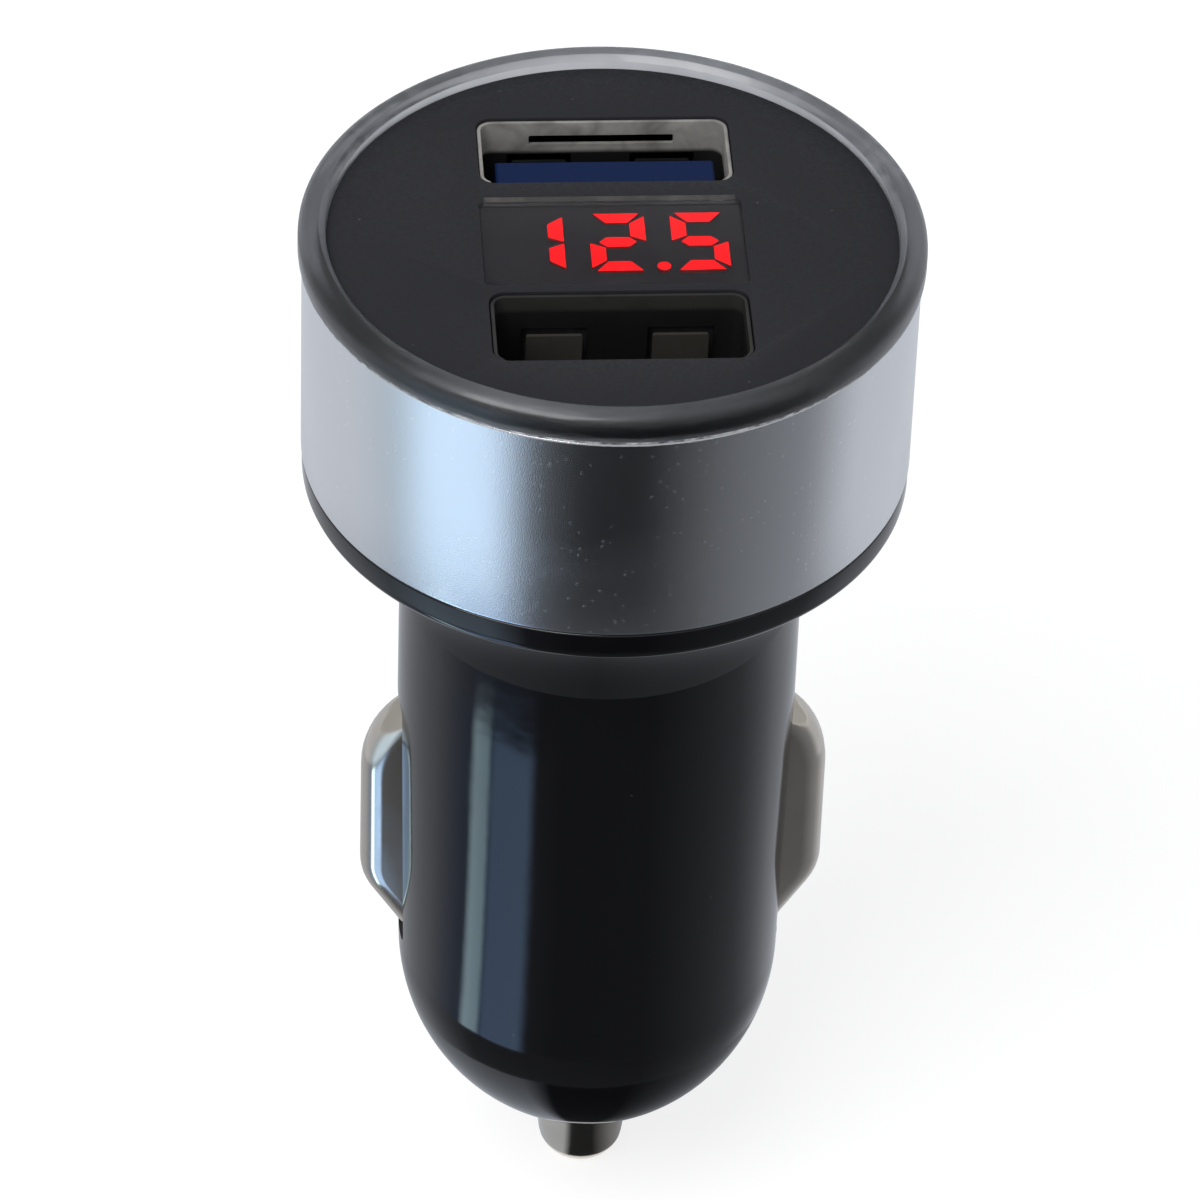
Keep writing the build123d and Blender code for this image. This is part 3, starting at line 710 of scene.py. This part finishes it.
# %% Making a finish
def finish(name, **values):
    """Starts a finish, and returns it with its tree and shader, with the plain values set."""
    material = bpy.data.materials.new(name)
    material.use_nodes = True
    shader = material.node_tree.nodes["Principled BSDF"]
    for label, value in values.items():
        shader.inputs[label.replace("_", " ")].default_value = value
    return material, material.node_tree, shader


def use(tree, group, **values):
    """Places a shared effect in a finish."""
    node = tree.nodes.new("ShaderNodeGroup")
    node.node_tree = group
    for label, value in values.items():
        node.inputs[label].default_value = value
    return node


def blend_colour(tree, shader, mask, plain, other):
    """Mixes two base colours by a mask."""
    mix = add(tree, "Mix", data_type="RGBA")
    mix.inputs[6].default_value = (*plain, 1)
    mix.inputs[7].default_value = (*other, 1)
    tree.links.new(mask, mix.inputs["Factor"])
    tree.links.new(mix.outputs[2], shader.inputs["Base Color"])


def bump(tree, shader, height, strength, distance):
    """Lifts the surface by a height."""
    node = add(tree, "Bump", Strength=strength, Distance=distance)
    tree.links.new(height, node.inputs["Height"])
    tree.links.new(node.outputs["Normal"], shader.inputs["Normal"])


def dress(material, *pieces):
    """Gives pieces one finish in place of any other."""
    for piece in pieces:
        piece.data.materials.clear()
        piece.data.materials.append(material)
    print(material.name, "on", [piece.name for piece in pieces])


# %% [markdown]
# Black gloss: polished moulded plastic, almost without colour of its own. What is seen is reflection,
# broken a little by fingerprints and specks of dust.

# %% Black gloss
black_gloss, tree, shader = finish("black_gloss", IOR=1.49)
hand = use(tree, marks, Size=140.0)
dust = use(tree, specks, Scale=700.0, Size=0.05)
peel = use(tree, grain, Scale=700.0, Detail=1.0)
blend_colour(tree, shader, dust.outputs["Speck"], (0.0045, 0.0045, 0.006), (0.03, 0.03, 0.033))
tree.links.new(ramp(tree, hand.outputs["Smudge"], 0, 1, 0.07, 0.13), shader.inputs["Roughness"])
bump(tree, shader, peel.outputs["Height"], 0.05, 0.1 * mm)
dress(black_gloss, body_moulding)

# %% [markdown]
# Satin aluminium: turned, blasted and anodised. A very fine grain spreads the reflection,
# and single grains flash brighter than the rest.

# %% Satin aluminium
satin_aluminium, tree, shader = finish("satin_aluminium", Metallic=1.0)
blast = use(tree, grain, Scale=14000.0, Detail=2.0)
flash = use(tree, specks, Scale=2600.0, Size=0.2)
hand = use(tree, marks, Size=120.0)
blend_colour(tree, shader, flash.outputs["Speck"], (0.76, 0.77, 0.79), (0.84, 0.85, 0.87))
tree.links.new(ramp(tree, hand.outputs["Smudge"], 0, 1, 0.2, 0.26), shader.inputs["Roughness"])
relief = add(tree, "Math", operation="MULTIPLY_ADD")
relief.inputs[1].default_value = 2.5
tree.links.new(flash.outputs["Speck"], relief.inputs[0])
tree.links.new(blast.outputs["Height"], relief.inputs[2])
bump(tree, shader, relief.outputs["Value"], 0.4, 0.016 * mm)
dress(satin_aluminium, sleeve)

# %% [markdown]
# Clear plastic: the light goes through it and bends. It is slightly smoked, and handling has dulled it.
# The edge that was trimmed from the mould is chipped and frosted, and its pale spots are a painted highlight for the
# sparkle above the sleeve.
# Under the rim, the sleeve's top and bore are painted dark in front and pale at the back: painted shade and painted
# light that show through the rim.

# %% Clear plastic
clear_plastic, tree, shader = finish("clear_plastic", IOR=1.45, Transmission_Weight=1.0, Coat_Weight=0.3)
hand = use(tree, marks, Size=220.0)
blend_colour(tree, shader, hand.outputs["Smudge"], (0.48, 0.49, 0.52), (0.4, 0.41, 0.44))
tree.links.new(ramp(tree, hand.outputs["Smudge"], 0, 1, 0.36, 0.44), shader.inputs["Roughness"])
dress(clear_plastic, clear_rim)

# Frosted chips and a painted highlight: pale spots on the lower edge stand for the light that sparkles there.
frosted_edge_painted_glint, tree, shader = finish("frosted_edge_painted_glint", Specular_IOR_Level=0.3)
chips = use(tree, grain, Scale=1800.0, Detail=3.0)
blend_colour(tree, shader, chips.outputs["Shade"], (0.12, 0.12, 0.14), (0.85, 0.87, 0.9))
tree.links.new(ramp(tree, chips.outputs["Shade"], 0, 1, 0.35, 0.6), shader.inputs["Roughness"])


def assign(piece, material, test):
    """Gives one more finish to the faces of a piece that pass the test."""
    piece.data.materials.append(material)
    edit(piece)
    count = choose("faces", test)
    piece.active_material_index = len(piece.data.materials) - 1
    bpy.ops.object.material_slot_assign()
    bpy.ops.object.mode_set(mode="OBJECT")
    print(material.name, "on", count, "faces of", piece.name)


def lower_edge(face):
    """Tells whether a face is on the rounded lower edge of the rim."""
    middle = face.calc_center_median()
    return middle.xy.length > (rim_radius - 0.24) * mm and middle.z < (sleeve_top + 0.24) * mm


assign(clear_rim, frosted_edge_painted_glint, lower_edge)

# Painted shade and painted light: dark on the front of the sleeve's top and bore, pale at the back.
painted_rim_shade, tree, shader = finish("painted_rim_shade", Specular_IOR_Level=0.2)
skin = use(tree, grain, Scale=1500.0, Detail=2.0)
place = add(tree, "SeparateXYZ")
tree.links.new(add(tree, "TexCoord").outputs["Object"], place.inputs["Vector"])
behind = ramp(tree, place.outputs["Y"], -12 * mm, -5 * mm)
blend_colour(tree, shader, behind, (0.01, 0.01, 0.013), (0.8, 0.8, 0.82))
tree.links.new(ramp(tree, skin.outputs["Shade"], 0, 1, 0.4, 0.7), shader.inputs["Roughness"])


def under_rim(face):
    """Tells whether a face of the sleeve is its top or its bore."""
    middle = face.calc_center_median()
    return face.normal.z > 0.99 or face.normal.xy.dot(middle.xy) < -0.9 * middle.xy.length


assign(sleeve, painted_rim_shade, under_rim)

# %% [markdown]
# Dark face: moulded with a fine spark grain that keeps it dull beside the gloss of the body.
# The chamfer at the window's far edge is painted pale, a painted sheen for the light it catches.

# %% Dark face
dark_face, tree, shader = finish("dark_face", Specular_IOR_Level=0.3)
spark = use(tree, grain, Scale=5200.0, Detail=3.0)
dust = use(tree, specks, Scale=800.0, Size=0.06)
blend_colour(tree, shader, dust.outputs["Speck"], (0.0145, 0.0145, 0.018), (0.05, 0.05, 0.054))
tree.links.new(ramp(tree, spark.outputs["Shade"], 0, 1, 0.45, 0.58), shader.inputs["Roughness"])
bump(tree, shader, spark.outputs["Height"], 0.25, 0.03 * mm)
dress(dark_face, face_disc)

# Painted sheen: the chamfer gets a paler, mottled colour than the face.
painted_sheen_edge, tree, shader = finish("painted_sheen_edge", Specular_IOR_Level=0.2)
sheen_mottle = use(tree, marks, Size=600.0)
blend_colour(tree, shader, sheen_mottle.outputs["Smudge"], (0.05, 0.048, 0.046), (0.11, 0.105, 0.1))
tree.links.new(ramp(tree, sheen_mottle.outputs["Smudge"], 0, 1, 0.5, 0.7), shader.inputs["Roughness"])


def chamfer(face):
    """Tells whether a face is the chamfer on the window's far edge."""
    return 0.5 < face.normal.z < 0.9 and abs(face.calc_center_median().y - lens_high.y) < 0.6 * mm


assign(face_disc, painted_sheen_edge, chamfer)

# %% [markdown]
# Smoked window: clear plastic with a light dye. The dark case behind it makes it look black between the lit strokes.
# A low index of refraction stands for a dull skin, which keeps the room's reflection off it.

# %% Smoked window
smoked_lens, tree, shader = finish("smoked_lens", IOR=1.2, Transmission_Weight=1.0)
hand = use(tree, marks, Size=260.0)
blend_colour(tree, shader, hand.outputs["Smudge"], (0.8, 0.78, 0.8), (0.72, 0.7, 0.72))
tree.links.new(ramp(tree, hand.outputs["Smudge"], 0, 1, 0.06, 0.16), shader.inputs["Roughness"])
dress(smoked_lens, window)

# %% [markdown]
# Lit red: diffusing resin with a lamp behind each stroke. It glows by itself, a little unevenly,
# and only upwards, because the sides of each stroke are masked.

# %% Lit strokes
lit_red, tree, shader = finish("lit_red", Roughness=0.5, Specular_IOR_Level=0.0, Emission_Strength=1.7)
glow = use(tree, grain, Scale=700.0, Detail=1.0)
blend_colour(tree, shader, glow.outputs["Shade"], (0.3, 0.004, 0.005), (0.4, 0.006, 0.008))
warm = add(tree, "Mix", data_type="RGBA")
warm.inputs[6].default_value = (0.9, 0.002, 0.004, 1)
warm.inputs[7].default_value = (1.0, 0.004, 0.006, 1)
tree.links.new(glow.outputs["Shade"], warm.inputs["Factor"])
upward = add(tree, "SeparateXYZ")
tree.links.new(add(tree, "TexCoord").outputs["Normal"], upward.inputs["Vector"])
front = add(tree, "Mix", data_type="RGBA")
front.inputs[6].default_value = (0, 0, 0, 1)
tree.links.new(ramp(tree, upward.outputs["Z"], 0.5, 0.9), front.inputs["Factor"])
tree.links.new(warm.outputs[2], front.inputs[7])
tree.links.new(front.outputs[2], shader.inputs["Emission Color"])
dress(lit_red, frame["nodes"]["digit_segments"])

# %% [markdown]
# Metals: bright plating on the contacts, gold on the strips, spring steel, tin, aluminium and copper.
# They share one recipe of a drawn or turned line, fingerprints and a tint, each with its own values.

# %% Metals
def metal(name, plain, dull, low, high, along, across, depth, *pieces):
    """Makes a metal finish with tool lines and handling marks."""
    material, tree, shader = finish(name, Metallic=1.0)
    hand = use(tree, marks, Size=180.0)
    tool = use(tree, lines, Along=along, Across=across)
    blend_colour(tree, shader, hand.outputs["Smudge"], plain, dull)
    tree.links.new(ramp(tree, hand.outputs["Smudge"], 0, 1, low, high), shader.inputs["Roughness"])
    bump(tree, shader, tool.outputs["Height"], depth, 0.02 * mm)
    dress(material, *pieces)


nodes = frame["nodes"]
metal(
    "bright_plate", (0.66, 0.61, 0.54), (0.56, 0.52, 0.46), 0.14, 0.24, 300.0, 2500.0, 0.1,
    hump, left_hump, tip_pin,
)
metal(
    "gold_strip", (0.95, 0.68, 0.28), (0.85, 0.58, 0.22), 0.2, 0.3, 300.0, 3000.0, 0.1,
    nodes["usb_upper_pins"], nodes["usb_lower_pins"],
)
metal(
    "spring_steel", (0.5, 0.5, 0.52), (0.4, 0.4, 0.42), 0.22, 0.35, 300.0, 5000.0, 0.2,
    tip_coil, right_leaf, left_leaf,
)
metal("tinned_leg", (0.7, 0.7, 0.68), (0.6, 0.6, 0.58), 0.3, 0.4, 300.0, 3000.0, 0.1, nodes["display_pins"])
metal(
    "can_aluminium", (0.72, 0.73, 0.75), (0.6, 0.61, 0.63), 0.25, 0.35, 60.0, 6000.0, 0.2,
    nodes["input_capacitor"], nodes["output_capacitor"],
)
metal("copper", (0.72, 0.3, 0.14), (0.6, 0.22, 0.1), 0.25, 0.35, 100.0, 4000.0, 0.6, nodes["choke_winding"])

# %% [markdown]
# The ports: the plating keeps its own colour at the mouth, and a mask by height darkens it further in, as painted
# shade for the unlit depth. The near port gets a darker copy, painted shade for its shadowed mouth, and its fingers
# are painted pale, a painted highlight.

# %% Port steel
# Painted shade: this mask is 1 above a height and 0 below it, and darkens the inside of a port.
painted_depth_shade, start, end = effect("painted_depth_shade", {"Level": 0.019, "Blend": 0.0002}, ["Mask"])
height = add(painted_depth_shade, "SeparateXYZ")
painted_depth_shade.links.new(add(painted_depth_shade, "TexCoord").outputs["Object"], height.inputs["Vector"])
above_level = add(painted_depth_shade, "Math", operation="SUBTRACT")
painted_depth_shade.links.new(height.outputs["Z"], above_level.inputs[0])
painted_depth_shade.links.new(start.outputs["Level"], above_level.inputs[1])
share = add(painted_depth_shade, "Math", operation="DIVIDE", use_clamp=True)
painted_depth_shade.links.new(above_level.outputs["Value"], share.inputs[0])
painted_depth_shade.links.new(start.outputs["Blend"], share.inputs[1])
painted_depth_shade.links.new(share.outputs["Value"], end.inputs["Mask"])


def port_steel(name, mouth, reach, piece):
    """Makes plated steel that keeps its colour at the mouth of a port and is darker inside, as painted shade."""
    material, tree, shader = finish(name, Metallic=0.25, Specular_IOR_Level=0.3)
    shade_by_depth = use(tree, painted_depth_shade, Level=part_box("usb_upper_shell")[1].z - reach * mm, Blend=0.25 * mm)
    hand = use(tree, marks, Size=500.0)
    tool = use(tree, lines, Along=400.0, Across=3000.0)
    shade_and_smudge = add(tree, "Math", operation="MULTIPLY")
    tree.links.new(shade_by_depth.outputs["Mask"], shade_and_smudge.inputs[0])
    tree.links.new(ramp(tree, hand.outputs["Smudge"], 0, 1, 1.0, 0.4), shade_and_smudge.inputs[1])
    blend_colour(tree, shader, shade_and_smudge.outputs["Value"], (0.012, 0.012, 0.012), mouth)
    tree.links.new(ramp(tree, hand.outputs["Smudge"], 0, 1, 0.32, 0.5), shader.inputs["Roughness"])
    bump(tree, shader, tool.outputs["Height"], 0.15, 0.02 * mm)
    dress(material, piece)


def on_finger(face):
    """Tells whether a face is on a spring finger of a port."""
    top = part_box("usb_lower_shell")[1].z - finger_sink
    beside = max(abs(abs(vert.co.x) - finger_place) for vert in face.verts)
    return beside < finger_width / 2 + 1e-6 and max(vert.co.z for vert in face.verts) < top + 1e-6


port_steel("port_steel", (0.36, 0.35, 0.33), 1.9, upper_port)
# Painted shade: the near port gets a darker copy of the same steel.
port_steel("near_port_shaded_steel", (0.035, 0.034, 0.032), 1.0, lower_port)
# Painted highlight: the near port's fingers are paler than the dark wall round them.
painted_lit_finger, tree, shader = finish("painted_lit_finger", Metallic=0.2)
hand = use(tree, marks, Size=400.0)
blend_colour(tree, shader, hand.outputs["Smudge"], (0.06, 0.057, 0.05), (0.045, 0.043, 0.038))
tree.links.new(ramp(tree, hand.outputs["Smudge"], 0, 1, 0.4, 0.55), shader.inputs["Roughness"])
assign(lower_port, painted_lit_finger, on_finger)

# %% [markdown]
# Moulded and fired pieces: the tongues of the ports, the display's case, chips, ferrite and boards.
# They share a recipe of a grain that shades the colour and the gloss.

# %% Moulded pieces
def moulded(name, plain, other, low, high, scale, depth, *pieces):
    """Makes a dull finish with a fine grain."""
    material, tree, shader = finish(name, Specular_IOR_Level=0.12)
    fine = use(tree, grain, Scale=scale, Detail=3.0)
    blend_colour(tree, shader, fine.outputs["Shade"], plain, other)
    tree.links.new(ramp(tree, fine.outputs["Shade"], 0, 1, low, high), shader.inputs["Roughness"])
    bump(tree, shader, fine.outputs["Height"], depth, 0.03 * mm)
    dress(material, *pieces)


moulded(
    "blue_insulator", (0.0025, 0.012, 0.055), (0.0035, 0.015, 0.068), 0.4, 0.55, 3500.0, 0.15,
    nodes["usb_upper_tongue"],
)
moulded(
    "black_insulator", (0.012, 0.012, 0.013), (0.02, 0.02, 0.021), 0.4, 0.55, 3500.0, 0.15,
    nodes["usb_lower_tongue"],
)
moulded("display_case", (0.03, 0.029, 0.033), (0.037, 0.036, 0.04), 0.5, 0.65, 2500.0, 0.15, nodes["display_block"])
moulded(
    "chip_black", (0.015, 0.015, 0.016), (0.03, 0.03, 0.03), 0.5, 0.7, 5000.0, 0.3,
    nodes["regulator_chip"], nodes["rectifier_diode"], nodes["meter_chip"],
)
moulded("chip_ceramic", (0.35, 0.27, 0.19), (0.45, 0.36, 0.26), 0.4, 0.6, 4000.0, 0.2, nodes["chip_parts"])
moulded("ferrite", (0.03, 0.03, 0.032), (0.05, 0.05, 0.052), 0.55, 0.7, 3000.0, 0.4, nodes["choke_core"])
moulded(
    "board_green", (0.008, 0.09, 0.03), (0.012, 0.13, 0.045), 0.3, 0.45, 900.0, 0.1,
    nodes["head_board"], nodes["main_board"],
)

# %% [markdown]
# The camera stands where the photographer stood: about 0.39 m away, 40 degrees up, a little to the left,
# and slightly rolled.

# %% Camera
azimuth, elevation, distance, roll = radians(-4.7), radians(39.585), 0.39, radians(2.13)
outward = Vector((sin(azimuth) * cos(elevation), -cos(azimuth) * cos(elevation), sin(elevation)))
facing = (-outward).to_track_quat("-Z", "Y") @ Quaternion((0, 0, 1), roll)
aim = Vector((0, 0, -2.62 * mm)) + facing @ Vector((0.03 * mm, 0, 0))
bpy.ops.object.camera_add(location=aim + outward * distance, rotation=facing.to_euler())
camera = bpy.context.active_object
camera.data.lens = 225.1
camera.data.sensor_width = 36
camera.data.clip_start = 0.01
bpy.context.scene.camera = camera
bpy.context.scene.view_settings.view_transform = "Standard"
print("camera at", [round(value, 4) for value in camera.location])

# %% [markdown]
# The floor is white paper. It is plain grey to the light, so it keeps a soft shadow, and an added glow that only
# the camera, reflections and clear plastic see makes it white. A large lamp and a pale sky light the plug.

# %% Floor and light
bpy.ops.object.select_all(action="DESELECT")
bpy.ops.mesh.primitive_plane_add(size=6, location=(0, 0, cad_low.z - 0.02 * mm))
floor = bpy.context.active_object
floor.name = "floor"
paper = bpy.data.materials.new("white_paper")
paper.use_nodes = True
tree = paper.node_tree
tree.nodes.clear()
lit = add(tree, "BsdfDiffuse", Color=(0.35, 0.35, 0.35, 1))
path = add(tree, "LightPath")
white = add(tree, "Emission", Color=(1, 1, 1, 1))
both = add(tree, "AddShader")
seen = add(tree, "Math", operation="ADD", use_clamp=True)
also = add(tree, "Math", operation="ADD", use_clamp=True)
tree.links.new(path.outputs["Is Camera Ray"], seen.inputs[0])
tree.links.new(path.outputs["Is Transmission Ray"], seen.inputs[1])
tree.links.new(seen.outputs["Value"], also.inputs[0])
tree.links.new(path.outputs["Is Glossy Ray"], also.inputs[1])
lift = add(tree, "Math", operation="MULTIPLY")
lift.inputs[1].default_value = 0.75
tree.links.new(also.outputs["Value"], lift.inputs[0])
tree.links.new(lift.outputs["Value"], white.inputs["Strength"])
tree.links.new(lit.outputs["BSDF"], both.inputs[0])
tree.links.new(white.outputs["Emission"], both.inputs[1])
tree.links.new(both.outputs["Shader"], add(tree, "OutputMaterial").inputs["Surface"])
floor.data.materials.append(paper)

bpy.ops.object.light_add(type="AREA", location=(-0.35, -0.45, 0.75))
key = bpy.context.active_object
key.data.size = 0.6
key.data.energy = 6
key.rotation_euler = (-Vector(key.location)).to_track_quat("-Z", "Y").to_euler()
world = bpy.data.worlds.new("soft_room")
bpy.context.scene.world = world
world.use_nodes = True
world.node_tree.nodes["Background"].inputs["Color"].default_value = (0.95, 0.97, 1.0, 1)
world.node_tree.nodes["Background"].inputs["Strength"].default_value = 0.5
print("floor at", round(floor.location.z / mm, 2), "mm")

# %% [markdown]
# Seen from above, an upright wall reflects the floor round the plug and not the sky. So a studio lays
# dark cloth and pale card there, out of the camera's sight. Here they are flat rings that only reflections see:
# small ones for the tip and the nose, one for the barrel with a bright strip at the left, a narrow one for the
# barrel's top, and a wide one for the sleeve. A collar of cloth close to the neck keeps the strip out of it.

# %% Cloth and card round the plug
def card(name, inner, outer, strength, stops, height=cad_low.z + 0.01 * mm):
    """Lays a flat ring whose brightness goes by the angle from the camera, in degrees, left to right."""
    bpy.ops.object.select_all(action="DESELECT")
    bpy.ops.mesh.primitive_circle_add(vertices=96, radius=inner * mm, location=(0, 0, height))
    ring = bpy.context.active_object
    ring.name = name
    bpy.ops.object.transform_apply()
    edit(ring)
    bpy.ops.mesh.select_all(action="SELECT")
    bpy.ops.mesh.extrude_edges_move()
    bpy.ops.transform.resize(value=(outer / inner, outer / inner, 1), center_override=(0, 0, height))
    bpy.ops.object.mode_set(mode="OBJECT")
    ring.visible_camera = False
    ring.visible_diffuse = False
    ring.visible_transmission = False
    ring.visible_shadow = False
    paint = bpy.data.materials.new(name)
    paint.use_nodes = True
    tree = paint.node_tree
    tree.nodes.clear()
    place = add(tree, "TexCoord")
    turn = add(tree, "Mapping", Rotation=(0, 0, pi / 2 - azimuth))
    sweep = add(tree, "TexGradient", gradient_type="RADIAL")
    shades = add(tree, "ValToRGB")
    glow = add(tree, "Emission", Strength=strength)
    tree.links.new(place.outputs["Object"], turn.inputs["Vector"])
    tree.links.new(turn.outputs["Vector"], sweep.inputs["Vector"])
    tree.links.new(sweep.outputs["Fac"], shades.inputs["Fac"])
    tree.links.new(shades.outputs["Color"], glow.inputs["Color"])
    tree.links.new(glow.outputs["Emission"], add(tree, "OutputMaterial").inputs["Surface"])
    colours = shades.color_ramp.elements
    for angle, colour in stops[1:-1]:
        colours.new(angle / 360 + 0.5).color = (*colour, 1)
    colours[0].color = (*stops[0][1], 1)
    colours[-1].color = (*stops[-1][1], 1)
    ring.data.materials.append(paint)
    print(name, "from", inner, "to", outer, "mm")


def grey(level):
    """Returns a slightly cool grey."""
    return (0.96 * level, level, 1.08 * level)


card("tip_card", 2.2, 15, 1.0, [
    (-180, grey(0.5)), (-32, (0.5, 0.54, 0.6)), (-18, grey(0.02)), (26, grey(0.02)), (70, grey(0.22)),
    (180, grey(0.5)),
])
card("nose_card", 15.01, 24, 6.0, [
    (-180, grey(0.1)), (-95, grey(0.08)), (-60, grey(0.02)), (30, grey(0.015)), (85, grey(0.05)),
    (115, grey(0.1)), (180, grey(0.1)),
])
card("barrel_card", 24.01, 52.7, 6.0, [
    (-180, grey(0.1)), (-95, grey(0.08)), (-69, (0.03, 0.04, 0.06)), (-65, (0.34, 0.46, 0.52)),
    (-57, (0.28, 0.4, 0.46)), (-55.5, (0.05, 0.08, 0.13)), (-53, (0.1, 0.15, 0.24)), (-34, (0.12, 0.18, 0.28)),
    (-29, grey(0.02)),
    (-15, grey(0.012)), (30, grey(0.015)), (85, grey(0.05)), (115, grey(0.1)), (180, grey(0.1)),
])
card("neck_card", 52.71, 60, 1.0, [
    (-180, grey(0.6)), (-95, grey(0.45)), (-60, (0.12, 0.15, 0.22)), (-29, grey(0.08)), (30, grey(0.08)),
    (85, grey(0.3)), (115, grey(0.6)), (180, grey(0.6)),
])
card("collar", 10.6, 14, 1.0, [
    (-180, grey(1.0)), (-70, grey(0.55)), (0, grey(0.22)), (70, grey(0.55)), (180, grey(1.0)),
], -0.7 * mm)
card("sleeve_card", 60.01, 900, 1.35, [
    (-180, grey(0.5)), (-95, grey(0.48)), (-77, (0.36, 0.42, 0.47)), (-60, (0.62, 0.8, 0.98)),
    (-38, (0.6, 0.76, 0.94)), (-24, grey(0.07)), (-8, grey(0.014)), (16, grey(0.012)), (44, grey(0.11)),
    (75, grey(0.19)), (96, grey(0.46)), (180, grey(0.5)),
])
